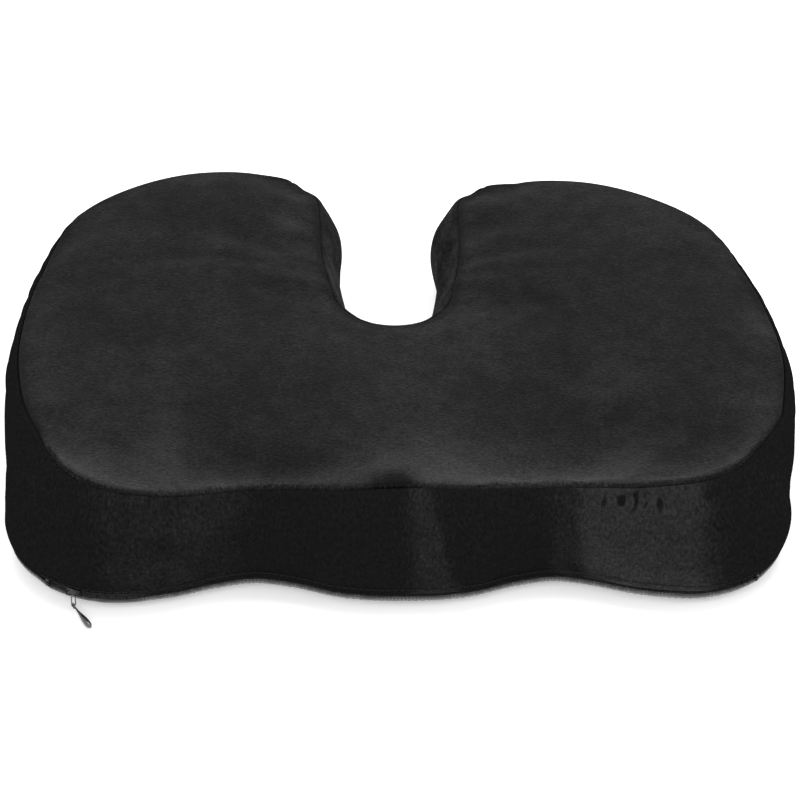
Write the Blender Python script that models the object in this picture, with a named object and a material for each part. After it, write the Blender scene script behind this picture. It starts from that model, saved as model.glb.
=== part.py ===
"""A U-shaped memory foam seat cushion in a sewn velour cover that closes with a coil zip.

Metres, +Z up. The cushion stands on z = 0 with its front edge towards -Y and its tailbone notch
open towards +Y. The origin is on the underside, on the plane of symmetry, midway between the
front edge and the notch.
"""

import math
from collections import namedtuple

import bmesh
import bpy
from mathutils import Vector
from mathutils.geometry import delaunay_2d_cdt, interpolate_bezier

GAP = 0.0003
FABRIC = 0.002

# Half of the gap at the top seam, where the mitred edges of the top and the side wall meet.
MITRE_GAP = 0.0002

# The outline in plan, where the wall would be if it were upright: the right half, from the middle
# of the front to the middle of the notch.
FRONT_EDGE = (
    (0.0, -0.063),
    (0.032, -0.060),
    (0.058, -0.051),
    (0.080, -0.047),
    (0.103, -0.0515),
    (0.124, -0.0585),
)
CORNER_CENTRE = Vector((0.151, -0.0125, 0.0))
CORNER_RADIUS = 0.050
CORNER_ANGLES = range(-98, 1, 7)
SIDE_AND_LOBE = (
    (0.211, 0.080),
    (0.205, 0.150),
    (0.183, 0.221),
    (0.125, 0.262),
    (0.080, 0.266),
    (0.0545, 0.2645),
    (0.0408, 0.2470),
    (0.040, 0.215),
    (0.039, 0.180),
    (0.0345, 0.145),
    (0.0283, 0.117),
    (0.016, 0.102),
)
NOTCH_MIDDLE = (0.0, 0.098)
STATION_SPACING = 0.019

# The wall in section, as (distance out from the outline, height), from the underside upwards.
LOWER_SEAM = 0.0085
SEAM_HEIGHT = 0.0685
SKIRT = ((-0.008, 0.0), (0.0, 0.0006), (0.0048, 0.0026), (0.0076, 0.0055), (0.0086, LOWER_SEAM))
WALL = ((0.0112, 0.018), (0.0120, 0.028), (0.0108, 0.042), (0.0062, 0.056), (0.0, SEAM_HEIGHT))
SECTION = SKIRT + WALL
SEAM_ROW = len(SKIRT) - 1

# The wall leans back: the top seam is drawn in at the front corners, in the middle of the front and
# at the notch's mouth. The ramps are where the corners' lean starts and how far on it is full.
CORNER_LEAN = 0.013
CORNER_RAMP_X = (0.108, 0.085)
CORNER_RAMP_Y = (0.012, 0.045)
MIDDLE_LEAN = 0.0072
MIDDLE_HALF_WIDTH = 0.072
MOUTH_LEAN = 0.0082
MOUTH_PLACE = (0.044, 0.257)
MOUTH_REACH = (0.020, 0.022)
LEAN_FROM = 0.020

# The foam below the lower edge of the band is set back for the zip and the seam allowance.
FOAM_FOOT = ((-0.010, 0.0024), (0.0, 0.0032), (0.0026, 0.0056))
FOAM_RECESS = ((0.0034, LOWER_SEAM), (0.0034, 0.0115), (0.0073, 0.018))
FOAM_DEPTH = 0.0032
FOAM_SHOULDER = (-0.0048, SEAM_HEIGHT - 0.0034)
FOAM_EASE = 0.0004

# The crowned top with its two thigh grooves.
CROWN = 0.0045
CROWN_REACH = 0.022
BORDER = 0.007
GROOVE = 0.010
GROOVE_X = 0.078
GROOVE_HALF_WIDTH = 0.042
GROOVE_END_Y = 0.080
TOP_GRID = 0.027
TOP_MARGIN = 0.020

# The zip lies in the lower seam along the front, from corner to corner.
ZIP_HALF_LENGTH = 0.192
ZIP_OPENING = 0.0028
COIL_WIDTH = (0.0062, 0.0080)
COIL_HEIGHT = (0.00055, 0.0025)
TAPE_UPPER = (
    (0.0059, 0.00905),
    (0.0059, 0.0113),
    (0.0080, 0.0165),
    (0.0074, 0.0167),
    (0.0053, 0.0115),
    (0.0053, 0.00905),
)
TAPE_LOWER = (
    (0.0059, 0.00795),
    (0.0053, 0.00795),
    (0.0050, 0.0061),
    (0.0044, 0.0051),
    (0.0035, 0.0044),
    (0.0039, 0.0039),
    (0.0049, 0.0046),
    (0.0056, 0.0059),
)
STITCH_LINES = {"upper": (0.0105, 0.0145), "lower": (0.0069, 0.0023)}
STOP_SIZE = (0.0022, 0.0009, 0.0022)
STOP_OFFSET = 0.0087
THREAD_RADIUS = 0.0003
TOP_THREAD = (-0.0032, SEAM_HEIGHT - 0.0030)
LOWER_THREAD_OFFSET = 0.0056
JOIN_THREAD_DEPTH = 0.0026

# The slider turns about the centre of the left front corner, because the zip follows that arc.
SLIDER_PIVOT = Vector((-CORNER_CENTRE.x, CORNER_CENTRE.y, LOWER_SEAM))
SLIDER_ANGLE = math.radians(246)
SLIDER_LENGTH = 0.0074
PLATE_HALF_HEIGHT = 0.0022
FRONT_PLATE = (0.0083, 0.0097)
BACK_PLATE = (0.0039, 0.0047)
WEB_HALF_THICKNESS = 0.00025
BAIL_HALF_LENGTH = 0.0034
BAIL_OUT = 0.0125
BAIL_WIRE = 0.0004
LINK_ALONG = 0.0016
LINK_WIRE = 0.00035
LINK_HALF_WIDTH = 0.0011
LINK_ABOVE = 0.0010
PULL_HEADING = math.radians(-61)
EYE_HEIGHT = 0.0020
EYE_RADIUS = 0.0013
EYE_WIRE = 0.00042
TAB_PROFILE = (
    (0.0016, 0.0004),
    (0.0050, 0.0006),
    (0.0085, 0.0010),
    (0.0120, 0.0015),
    (0.0150, 0.0017),
    (0.0178, 0.0016),
    (0.0196, 0.0010),
)
TAB_LENGTH = 0.0202

# The side wall is cut in two strips, which join just inside the notch's mouth.
BAND_JOIN_X = 0.060
BAND_JOIN_Y = 0.220

Station = namedtuple("Station", "place outward lean top opening")


def clear_scene():
    for obj in list(bpy.data.objects):
        bpy.data.objects.remove(obj, do_unlink=True)


def material(name, colour, roughness, metallic=0.0):
    """A Principled material of one colour."""
    made = bpy.data.materials.new(name)
    made.use_nodes = True
    shader = made.node_tree.nodes["Principled BSDF"]
    shader.inputs["Base Color"].default_value = (*colour, 1.0)
    shader.inputs["Roughness"].default_value = roughness
    shader.inputs["Metallic"].default_value = metallic
    return made


def add_object(name, data, finish, parent=None):
    obj = bpy.data.objects.new(name, data)
    bpy.context.scene.collection.objects.link(obj)
    data.materials.append(finish)
    obj.parent = parent
    return obj


def add_mesh(name, bm, finish, parent=None):
    """Turns every face outwards, shades it smooth but for sharp edges, and makes the object."""
    bmesh.ops.recalc_face_normals(bm, faces=bm.faces)
    mesh = bpy.data.meshes.new(name)
    bm.to_mesh(mesh)
    bm.free()
    mesh.shade_smooth()
    mesh.set_sharp_from_angle(angle=math.radians(40))
    return add_object(name, mesh, finish, parent)


def add_empty(name, place, angle=0.0, parent=None):
    """A pivot, turned about Z."""
    empty = bpy.data.objects.new(name, None)
    bpy.context.scene.collection.objects.link(empty)
    empty.location = place
    empty.rotation_euler.z = angle
    empty.parent = parent
    return empty


def add_wire(name, path, radius, finish, cyclic=False, parent=None, sides=0):
    """A round wire, or a thread, along a path."""
    curve = bpy.data.curves.new(name, "CURVE")
    curve.dimensions = "3D"
    curve.bevel_depth = radius
    curve.bevel_resolution = sides
    curve.use_fill_caps = not cyclic
    spline = curve.splines.new("POLY")
    spline.points.add(len(path) - 1)
    for point, place in zip(spline.points, path):
        point.co = (*place, 1.0)
    spline.use_cyclic_u = cyclic
    return add_object(name, curve, finish, parent)


def smooth_step(value):
    value = min(max(value, 0.0), 1.0)
    return value * value * (3 - 2 * value)


def bell(value):
    """1 at 0, falling away on both sides."""
    return math.exp(-value * value)


def groove_depth(place):
    """How far the top is lowered by the two thigh grooves, which run out towards the back."""
    across = (abs(place.x) - GROOVE_X) / GROOVE_HALF_WIDTH
    along = (GROOVE_END_Y - place.y) / (GROOVE_END_Y - FRONT_EDGE[0][1])
    return GROOVE * bell(across) * smooth_step(along)


def wall_lean(place, outward):
    """How far the top seam is drawn in at a place on the outline."""
    if place.y > MOUTH_PLACE[1] / 2:
        across = (abs(place.x) - MOUTH_PLACE[0]) / MOUTH_REACH[0]
        return MOUTH_LEAN * bell(across) * bell((place.y - MOUTH_PLACE[1]) / MOUTH_REACH[1])
    if outward.y > 0:
        return 0.0
    across = smooth_step((abs(place.x) - CORNER_RAMP_X[0]) / CORNER_RAMP_X[1])
    along = smooth_step((CORNER_RAMP_Y[0] - place.y) / CORNER_RAMP_Y[1])
    middle = MIDDLE_LEAN * bell(place.x / MIDDLE_HALF_WIDTH) if place.y < 0 else 0.0
    return CORNER_LEAN * across * along + middle


def outline_knots():
    """The places that the outline's smooth curve goes through, counter-clockwise."""
    right = [Vector((x, y, 0.0)) for x, y in FRONT_EDGE]
    for degrees in CORNER_ANGLES:
        angle = math.radians(degrees)
        right.append(CORNER_CENTRE + Vector((math.cos(angle), math.sin(angle), 0.0)) * CORNER_RADIUS)
    right += [Vector((x, y, 0.0)) for x, y in SIDE_AND_LOBE]
    left = [Vector((-knot.x, knot.y, 0.0)) for knot in reversed(right[1:])]
    return right + [Vector((*NOTCH_MIDDLE, 0.0))] + left


def outline_curve():
    """Points along the smooth curve, each span cut into even steps."""
    knots = outline_knots()
    count = len(knots)
    chords = [(knots[(i + 1) % count] - knots[i]) for i in range(count)]
    tangents = []
    for i, after in enumerate(chords):
        before = chords[i - 1]
        weighed = after * (before.length / after.length) + before * (after.length / before.length)
        tangents.append(weighed / (before.length + after.length))
    points = []
    for i, chord in enumerate(chords):
        start, end = knots[i], knots[(i + 1) % count]
        leave = start + tangents[i] * chord.length / 3
        arrive = end - tangents[(i + 1) % count] * chord.length / 3
        steps = max(1, round(chord.length / STATION_SPACING))
        points += interpolate_bezier(start, leave, arrive, end, steps + 1)[:-1]
    return [Vector((point[0], point[1], 0.0)) for point in points]


def make_stations():
    """The stations round the cushion, the first in the middle of the front."""
    points = outline_curve()
    count = len(points)
    lengths = [0.0]
    for i in range(1, count):
        lengths.append(lengths[-1] + (points[i] - points[i - 1]).length)
    whole = lengths[-1] + (points[0] - points[-1]).length
    stations = []
    for i, point in enumerate(points):
        tangent = (points[(i + 1) % count] - points[i - 1]).normalized()
        outward = Vector((tangent.y, -tangent.x, 0.0))
        in_zip = min(lengths[i], whole - lengths[i]) < ZIP_HALF_LENGTH
        lean = wall_lean(point, outward)
        top = SEAM_HEIGHT - groove_depth(point - outward * lean)
        stations.append(Station(point, outward, lean, top, ZIP_OPENING if in_zip else GAP / 2))
    return stations


def zip_run(stations):
    """The stations along the zip, from its left end to its right end."""
    reach = sum(1 for station in stations if station.opening == ZIP_OPENING) // 2
    return [stations[i] for i in range(-reach, reach + 1)]


def flat_at(station, offset, height):
    """A place at a station, by its distance out from the upright through the outline and its height."""
    leaned = station.lean * smooth_step((height - LEAN_FROM) / (SEAM_HEIGHT - LEAN_FROM))
    return station.place + station.outward * (offset - leaned) + Vector((0.0, 0.0, height))


def wall_at(station, offset, height):
    """As flat_at, with heights above the lower seam squeezed where a groove lowers the top."""
    place = flat_at(station, offset, height)
    squeeze = (station.top - LOWER_SEAM) / (SEAM_HEIGHT - LOWER_SEAM)
    place.z = LOWER_SEAM + (height - LOWER_SEAM) * squeeze
    return place


def skirt_at(station, offset, height):
    """As flat_at, with the curl below the lower seam squeezed where the zip opens the seam."""
    place = flat_at(station, offset, height)
    place.z = height * (LOWER_SEAM - station.opening) / LOWER_SEAM
    return place


def inset_section(depth):
    """The section moved in by a depth, square to itself; its top is mitred."""
    moved = []
    for i, (offset, height) in enumerate(SECTION):
        before = SECTION[max(i - 1, 0)]
        after = SECTION[min(i + 1, len(SECTION) - 1)]
        run = math.hypot(after[0] - before[0], after[1] - before[1])
        out = (after[1] - before[1]) / run
        down = (after[0] - before[0]) / run
        moved.append((offset - out * depth, height + down * depth))
    moved[SEAM_ROW] = (SECTION[SEAM_ROW][0] - depth, LOWER_SEAM)
    moved[-1] = (-depth, SEAM_HEIGHT - depth)
    return moved


def move_on(verts, fresh, places):
    """Moves the extruded copy of each vert to its place; returns the copies in the same order."""
    following = []
    for vert, place in zip(verts, places):
        copy = next(edge.other_vert(vert) for edge in vert.link_edges if edge.other_vert(vert) in fresh)
        copy.co = place
        following.append(copy)
    return following


def sweep(bm, sections):
    """Extrudes the first section through the places of the others; both ends are closed."""
    verts = [bm.verts.new(place) for place in sections[0]]
    edges = list(bm.faces.new(verts).edges)
    for section in sections[1:]:
        made = bmesh.ops.extrude_edge_only(bm, edges=edges)["geom"]
        edges = [item for item in made if isinstance(item, bmesh.types.BMEdge)]
        fresh = {item for item in made if isinstance(item, bmesh.types.BMVert)}
        verts = move_on(verts, fresh, section)
        edges = [edge for edge in edges if edge.verts[0] in fresh and edge.verts[1] in fresh]
    bm.faces.new(verts)


def loft(bm, rings):
    """Extrudes a closed ring of places through the other rings; returns the first and last verts."""
    verts = [bm.verts.new(place) for place in rings[0]]
    count = len(verts)
    edges = [bm.edges.new((verts[i], verts[(i + 1) % count])) for i in range(count)]
    first = verts
    for ring in rings[1:]:
        made = bmesh.ops.extrude_edge_only(bm, edges=edges)["geom"]
        fresh = {item for item in made if isinstance(item, bmesh.types.BMVert)}
        verts = move_on(verts, fresh, ring)
        edges = [bm.edges.get((verts[i], verts[(i + 1) % count])) for i in range(count)]
    return first, verts


def close_flat(bm, ring):
    """Closes a flat ring of verts. The face's normal is worked out first, as the cutting up needs it."""
    face = bm.faces.new(ring)
    face.normal_update()
    bmesh.ops.triangulate(bm, faces=[face])


def seam_place(station, inward=0.0):
    """The plan of the top seam at a station, or of a line inside it."""
    return station.place - station.outward * (station.lean + inward)


def nearest_distance(place, stations):
    return min((place - seam_place(station)).length for station in stations)


def top_height(place, distance):
    """The height of the cover's upper surface, at a distance in from the seam."""
    return SEAM_HEIGHT - groove_depth(place) + CROWN * (1 - math.exp(-distance / CROWN_REACH))


def top_plan(stations):
    """The plan of the top inside its border: places with their outer heights, and triangles."""
    border = [seam_place(station, BORDER) for station in stations]
    count = len(border)
    low = Vector(map(min, *(place.to_tuple() for place in border)))
    high = Vector(map(max, *(place.to_tuple() for place in border)))
    inner = []
    row = 0
    y = low.y
    while y < high.y:
        x = low.x + (row % 2) * TOP_GRID / 2
        while x < high.x:
            inner.append(Vector((x, y, 0.0)))
            x += TOP_GRID
        y += TOP_GRID * math.sqrt(3) / 2
        row += 1
    inner = [place for place in inner if nearest_distance(place, stations) > TOP_MARGIN]
    places = [place.to_2d() for place in border + inner]
    edges = [(i, (i + 1) % count) for i in range(count)]
    _, _, faces, sources, _, _ = delaunay_2d_cdt(places, edges, [], 1, 1e-6)
    triangles = [[sources[i][0] for i in face] for face in faces]
    raised = {}
    for i in {i for triangle in triangles for i in triangle}:
        place = border[i] if i < count else inner[i - count]
        distance = BORDER if i < count else nearest_distance(place, stations)
        raised[i] = place + Vector((0.0, 0.0, top_height(place, distance)))
    return raised, triangles


def add_top(bm, ring, plan, drop):
    """Fills a ring of verts, which follow the plan's border, with the crowned top, lowered by drop."""
    places, triangles = plan
    verts = dict(enumerate(ring))
    for i, place in places.items():
        if i >= len(ring):
            verts[i] = bm.verts.new(place - Vector((0.0, 0.0, drop)))
    for triangle in triangles:
        bm.faces.new([verts[i] for i in triangle])


def border_ring(stations, plan, drop):
    return [plan[0][i] - Vector((0.0, 0.0, drop)) for i in range(len(stations))]


def make_foam_core(stations, plan, finish):
    """The moulded block, which fills the cover but for the room left for the zip and the seams."""
    wall = inset_section(FOAM_DEPTH)[SEAM_ROW + 2 : -1]
    rings = []
    for offset, height in FOAM_FOOT:
        rings.append([flat_at(station, offset, height) for station in stations])
    for offset, height in (*FOAM_RECESS, *wall, FOAM_SHOULDER):
        rings.append([wall_at(station, offset, height) for station in stations])
    rings.append(border_ring(stations, plan, FABRIC + FOAM_EASE))
    bm = bmesh.new()
    foot, border = loft(bm, rings)
    add_top(bm, border, plan, FABRIC + FOAM_EASE)
    close_flat(bm, foot)
    return add_mesh("foam_core", bm, finish)


def make_top_panel(stations, plan, finish):
    """The velour top, a sheet with its edge mitred to meet the side wall at the seam."""
    bm = bmesh.new()
    lift = Vector((0.0, 0.0, MITRE_GAP))
    under = [wall_at(station, -FABRIC, SEAM_HEIGHT - FABRIC) + lift for station in stations]
    edge = [wall_at(station, 0.0, SEAM_HEIGHT) + lift for station in stations]
    rings = [border_ring(stations, plan, FABRIC), under, edge, border_ring(stations, plan, 0.0)]
    lower, upper = loft(bm, rings)
    add_top(bm, lower, plan, FABRIC)
    add_top(bm, upper, plan, 0.0)
    return add_mesh("top_panel", bm, finish)


def band_section(station):
    """The side wall's cloth at one station: up its outer face and down its inner face."""
    outer = list(SECTION[SEAM_ROW:])
    inner = inset_section(FABRIC)[SEAM_ROW:]
    places = [wall_at(station, offset, height) for offset, height in outer + inner[::-1]]
    places[0].z = places[-1].z = LOWER_SEAM + station.opening
    top = len(outer)
    for place in (places[top - 1], places[top]):
        place.z -= MITRE_GAP
    return places


def make_band(name, run, finish):
    bm = bmesh.new()
    sweep(bm, [band_section(station) for station in run])
    return add_mesh(name, bm, finish)


def make_bottom_panel(stations, finish):
    """The non-slip base cloth, curled up all round to the lower seam."""
    inner = inset_section(FABRIC)[: SEAM_ROW + 1]
    profile = [*inner, *SKIRT[::-1]]
    rings = [[skirt_at(station, offset, height) for station in stations] for offset, height in profile]
    bm = bmesh.new()
    upper, under = loft(bm, rings)
    close_flat(bm, upper)
    close_flat(bm, under)
    return add_mesh("bottom_panel", bm, finish)


def make_strip(name, run, section, finish):
    """A strip of one section along a run of stations."""
    bm = bmesh.new()
    places = [[flat_at(station, offset, height) for offset, height in section] for station in run]
    sweep(bm, places)
    return add_mesh(name, bm, finish)


def coil_section(side):
    """One row of the zip's coil, above the seam line (side 1) or below it (side -1)."""
    inner, outer = COIL_WIDTH
    near, far = (LOWER_SEAM + side * height for height in COIL_HEIGHT)
    return ((inner, near), (outer, near), (outer, far), (inner, far))


def place_on_arc(angle, offset, height=0.0):
    """A place on the left front corner's arc, from the slider's pivot."""
    radius = CORNER_RADIUS + offset
    return Vector((radius * math.cos(angle), radius * math.sin(angle), height))


def make_end_stops(run, finish):
    """A crimped stop on each end of each coil."""
    middle = sum(COIL_HEIGHT) / 2
    for end, name, inward in ((run[0], "left", 1), (run[-1], "right", -1)):
        along = Vector((-end.outward.y, end.outward.x, 0.0))
        for side, row in ((-1, "lower"), (1, "upper")):
            bm = bmesh.new()
            verts = bmesh.ops.create_cube(bm, size=1.0)["verts"]
            bmesh.ops.scale(bm, vec=STOP_SIZE, verts=verts)
            stop = add_mesh(f"zip_stop_{name}_{row}", bm, finish)
            stop.location = flat_at(end, STOP_OFFSET, LOWER_SEAM + side * middle)
            stop.location += along * inward * STOP_SIZE[0]
            stop.rotation_euler.z = math.atan2(along.y, along.x)


def make_slider(pivot, finish):
    """The slider body, two plates joined by a web that runs between the coils, and its bail.

    Both are made about the pivot, whose +X points out through the slider.
    """
    back, front = BACK_PLATE, FRONT_PLATE
    plate, web = PLATE_HALF_HEIGHT, WEB_HALF_THICKNESS
    half = [(back[0], plate), (back[1], plate), (back[1], web)]
    half += [(front[0], web), (front[0], plate), (front[1], plate)]
    outline = half + [(offset, -height) for offset, height in reversed(half)]
    bm = bmesh.new()
    verts = []
    for offset, height in outline:
        verts.append(bm.verts.new((CORNER_RADIUS + offset, -SLIDER_LENGTH / 2, height)))
    face = bm.faces.new(verts)
    made = bmesh.ops.extrude_face_region(bm, geom=[face])["geom"]
    far_end = [item for item in made if isinstance(item, bmesh.types.BMVert)]
    bmesh.ops.translate(bm, vec=(0, SLIDER_LENGTH, 0), verts=far_end)
    add_mesh("zip_slider_body", bm, finish, pivot)
    foot = CORNER_RADIUS + FRONT_PLATE[1] + GAP + BAIL_WIRE
    out = CORNER_RADIUS + BAIL_OUT
    bend = BAIL_WIRE * 2
    path = [
        (foot, -BAIL_HALF_LENGTH, 0),
        (out - bend, -BAIL_HALF_LENGTH, 0),
        (out, -BAIL_HALF_LENGTH + bend, 0),
        (out, BAIL_HALF_LENGTH - bend, 0),
        (out - bend, BAIL_HALF_LENGTH, 0),
        (foot, BAIL_HALF_LENGTH, 0),
    ]
    add_wire("zip_slider_bail", path, BAIL_WIRE, finish, parent=pivot, sides=1)


def make_pull(link_pivot, tab_pivot, finish):
    """The wire link that hangs on the bail, and the drop-shaped tab on the link's lower end.

    The link is made about the bail's bar and the tab about the link's lower wire. In both, +X is
    the way that the tab points and the link's loop lies in the YZ plane.
    """
    drop = link_pivot.location.z - tab_pivot.location.z
    bend = LINK_HALF_WIDTH * 0.6
    loop = []
    for y, z in (
        (-LINK_HALF_WIDTH + bend, LINK_ABOVE),
        (LINK_HALF_WIDTH - bend, LINK_ABOVE),
        (LINK_HALF_WIDTH, LINK_ABOVE - bend),
        (LINK_HALF_WIDTH, bend - drop),
        (LINK_HALF_WIDTH - bend, -drop),
        (-LINK_HALF_WIDTH + bend, -drop),
        (-LINK_HALF_WIDTH, bend - drop),
        (-LINK_HALF_WIDTH, LINK_ABOVE - bend),
    ):
        loop.append((0.0, y, z))
    add_wire("zip_pull_link", loop, LINK_WIRE, finish, cyclic=True, parent=link_pivot, sides=1)

    bm = bmesh.new()
    drop_profile = [(0.0011, 0.0), *TAB_PROFILE, (TAB_LENGTH, 0.0)]
    points = [bm.verts.new((x, 0.0, radius)) for x, radius in drop_profile]
    edges = [bm.edges.new(pair) for pair in zip(points, points[1:])]
    turn = 2 * math.pi
    bmesh.ops.spin(
        bm, geom=points + edges, cent=(0, 0, 0), axis=(1, 0, 0), angle=turn, steps=12, use_merge=True
    )
    bmesh.ops.remove_doubles(bm, verts=bm.verts, dist=1e-6)
    tab = add_mesh("zip_pull_tab", bm, finish, tab_pivot)

    bm = bmesh.new()
    ring = bmesh.ops.create_circle(bm, segments=8, radius=EYE_WIRE)
    bmesh.ops.translate(bm, vec=(EYE_RADIUS, 0, 0), verts=ring["verts"])
    edges = list({edge for vert in ring["verts"] for edge in vert.link_edges})
    ring = ring["verts"] + edges
    bmesh.ops.spin(
        bm, geom=ring, cent=(0, 0, 0), axis=(0, 1, 0), angle=turn, steps=16, use_merge=True
    )
    bmesh.ops.remove_doubles(bm, verts=bm.verts, dist=1e-6)
    eye = add_mesh("tab_eye", bm, finish, tab_pivot)
    eye.hide_render = True
    eye.display_type = "WIRE"
    union = tab.modifiers.new("eye", "BOOLEAN")
    union.operation = "UNION"
    union.object = eye


def make_threads(stations, run, joins, finish):
    """The seam threads inside the cover, and the two lines of stitching that hold the zip."""
    top = [wall_at(station, *TOP_THREAD) for station in stations]
    add_wire("top_seam_thread", top, THREAD_RADIUS, finish, cyclic=True)
    half = len(run) // 2
    around = stations[half + 1 : len(stations) - half]
    lower = [flat_at(station, LOWER_THREAD_OFFSET, LOWER_SEAM) for station in around]
    add_wire("base_seam_thread", lower, THREAD_RADIUS, finish)
    inner = inset_section(JOIN_THREAD_DEPTH)[SEAM_ROW + 1 : -1]
    for name, station in joins.items():
        path = [wall_at(station, offset, height) for offset, height in inner]
        add_wire(f"band_join_thread_{name}", path, THREAD_RADIUS, finish)
    for name, line in STITCH_LINES.items():
        add_wire(f"zip_stitch_{name}", [flat_at(station, *line) for station in run], THREAD_RADIUS, finish)


def split_bands(stations):
    """The outer and notch strips' stations, and the two stations where they join."""
    in_mouth = []
    for station in stations:
        x, y, _ = station.place
        in_mouth.append(y > BAND_JOIN_Y and 0 < x < BAND_JOIN_X)
    right = in_mouth.index(True)
    left = len(stations) - right
    outer = [stations[i] for i in range(left - len(stations), right + 1)]
    notch = stations[right : left + 1]
    return outer, notch, {"right": stations[right], "left": stations[left]}


def trimmed(run):
    """The run with its two end stations drawn in, to leave a gap where two strips meet."""
    ends = []
    for end, inner in ((run[0], run[1]), (run[-1], run[-2])):
        step = (inner.place - end.place).normalized() * GAP
        ends.append(end._replace(place=end.place + step))
    return [ends[0], *run[1:-1], ends[1]]


def main():
    clear_scene()
    velour = material("velour", (0.030, 0.030, 0.032), 0.95)
    base_cloth = material("base_cloth", (0.060, 0.060, 0.062), 0.85)
    foam = material("foam", (0.55, 0.55, 0.52), 0.9)
    tape = material("zip_tape", (0.02, 0.02, 0.02), 0.8)
    coil = material("zip_coil", (0.02, 0.02, 0.02), 0.45)
    metal = material("zip_metal", (0.55, 0.55, 0.56), 0.3, 1.0)
    thread = material("thread", (0.02, 0.02, 0.02), 0.7)

    stations = make_stations()
    run = zip_run(stations)
    plan = top_plan(stations)
    outer, notch, joins = split_bands(stations)

    make_foam_core(stations, plan, foam)
    make_top_panel(stations, plan, velour)
    make_band("outer_band", trimmed(outer), velour)
    make_band("notch_band", notch, velour)
    make_bottom_panel(stations, base_cloth)
    make_strip("zip_tape_upper", run, TAPE_UPPER, tape)
    make_strip("zip_tape_lower", run, TAPE_LOWER, tape)
    make_strip("zip_coil_upper", run, coil_section(1), coil)
    make_strip("zip_coil_lower", run, coil_section(-1), coil)
    make_end_stops(run, metal)
    make_threads(stations, run, joins, thread)

    slider_pivot = add_empty("slider_pivot", SLIDER_PIVOT, SLIDER_ANGLE)
    make_slider(slider_pivot, metal)
    along = SLIDER_ANGLE + math.pi / 2
    bar = SLIDER_PIVOT + place_on_arc(SLIDER_ANGLE, BAIL_OUT)
    bar += Vector((math.cos(along), math.sin(along), 0.0)) * LINK_ALONG
    link_pivot = add_empty("link_pivot", bar, PULL_HEADING)
    tab_pivot = add_empty("tab_pivot", Vector((bar.x, bar.y, EYE_HEIGHT)), PULL_HEADING)
    make_pull(link_pivot, tab_pivot, metal)


main()
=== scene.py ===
"""The looks of a U-shaped memory foam seat cushion in a black velour cover with a coil zip.

Metres, +Z up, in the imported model's own frame: the front edge faces -Y, the tailbone notch opens
towards +Y, and the cushion stands on z = 0. The plan, the wall's section and the zip's sizes repeat
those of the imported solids, so that each dressed piece lies where its solid is.
"""

import logging
import math
import random
from collections.abc import Callable, Sequence
from dataclasses import dataclass, field
from enum import Enum
from typing import Any

import bmesh
import bpy
from mathutils import Matrix, Vector, noise
from mathutils.geometry import delaunay_2d_cdt, interpolate_bezier
from mathutils.kdtree import KDTree


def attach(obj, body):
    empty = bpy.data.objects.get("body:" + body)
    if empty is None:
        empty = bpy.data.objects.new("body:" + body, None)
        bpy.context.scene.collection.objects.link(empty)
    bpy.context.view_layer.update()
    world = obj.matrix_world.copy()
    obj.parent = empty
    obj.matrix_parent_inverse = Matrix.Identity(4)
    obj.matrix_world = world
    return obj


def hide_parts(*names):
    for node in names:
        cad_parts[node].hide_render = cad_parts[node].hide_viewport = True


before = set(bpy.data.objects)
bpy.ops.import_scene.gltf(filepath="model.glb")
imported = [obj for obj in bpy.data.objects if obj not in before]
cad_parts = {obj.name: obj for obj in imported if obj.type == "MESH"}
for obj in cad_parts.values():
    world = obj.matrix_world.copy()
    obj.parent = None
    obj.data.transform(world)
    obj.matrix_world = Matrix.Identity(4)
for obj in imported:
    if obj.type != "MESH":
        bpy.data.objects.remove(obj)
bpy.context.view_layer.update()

LOG = logging.getLogger("seat_cushion")
UP = Vector((0.0, 0.0, 1.0))
FULL_TURN = 2 * math.pi

Pair = tuple[float, float]


class Body(Enum):
    """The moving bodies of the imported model."""

    CUSHION = "cushion"
    SLIDER = "slider"
    LINK = "link"
    TAB = "tab"


class Slot(Enum):
    """The record's material slots."""

    FOAM = "foam"
    VELOUR = "velour"
    BASE_CLOTH = "base_cloth"
    TAPE = "zip_tape"
    COIL = "zip_coil"
    METAL = "zip_metal"
    THREAD = "thread"


class Grain(Enum):
    """What a velour's pile runs along."""

    ACROSS_THE_TOP = "top"
    ROUND_THE_WALL = "wall"


def smooth_step(value: float) -> float:
    """0 below 0, 1 above 1, and an even curve between."""
    value = min(max(value, 0.0), 1.0)
    return value * value * (3 - 2 * value)


def bell(value: float) -> float:
    """1 at 0, falling away on both sides."""
    return math.exp(-value * value)


def smooth_line(points: Sequence[Pair], steps: int) -> list[Pair]:
    """A smooth curve through the points of a section.

    Args:
        points: the section's points, in order.
        steps: the steps in each span.

    Returns:
        The points of the curve, both ends among them.
    """
    known = [Vector((x, y, 0.0)) for x, y in points]
    line: list[Pair] = []
    for i in range(len(known) - 1):
        before, start, end, after = (
            known[max(i - 1, 0)],
            known[i],
            known[i + 1],
            known[min(i + 2, len(known) - 1)],
        )
        leave = start + (end - before) / 6
        arrive = end - (after - start) / 6
        line += [(p[0], p[1]) for p in interpolate_bezier(start, leave, arrive, end, steps + 1)[:-1]]
    return [*line, (known[-1].x, known[-1].y)]


def tree_of(places: Sequence[Vector]) -> KDTree:
    """The places, for finding the nearest of them."""
    tree = KDTree(len(places))
    for i, place in enumerate(places):
        tree.insert(place, i)
    tree.balance()
    return tree


# ---------------------------------------------------------------------------------------------
# The plan


@dataclass(frozen=True)
class Station:
    """One place on the outline, with what the wall does there.

    along is the distance round the outline from the middle of the front, negative to the left.
    """

    place: Vector
    outward: Vector
    lean: float
    top: float
    along: float


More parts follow.
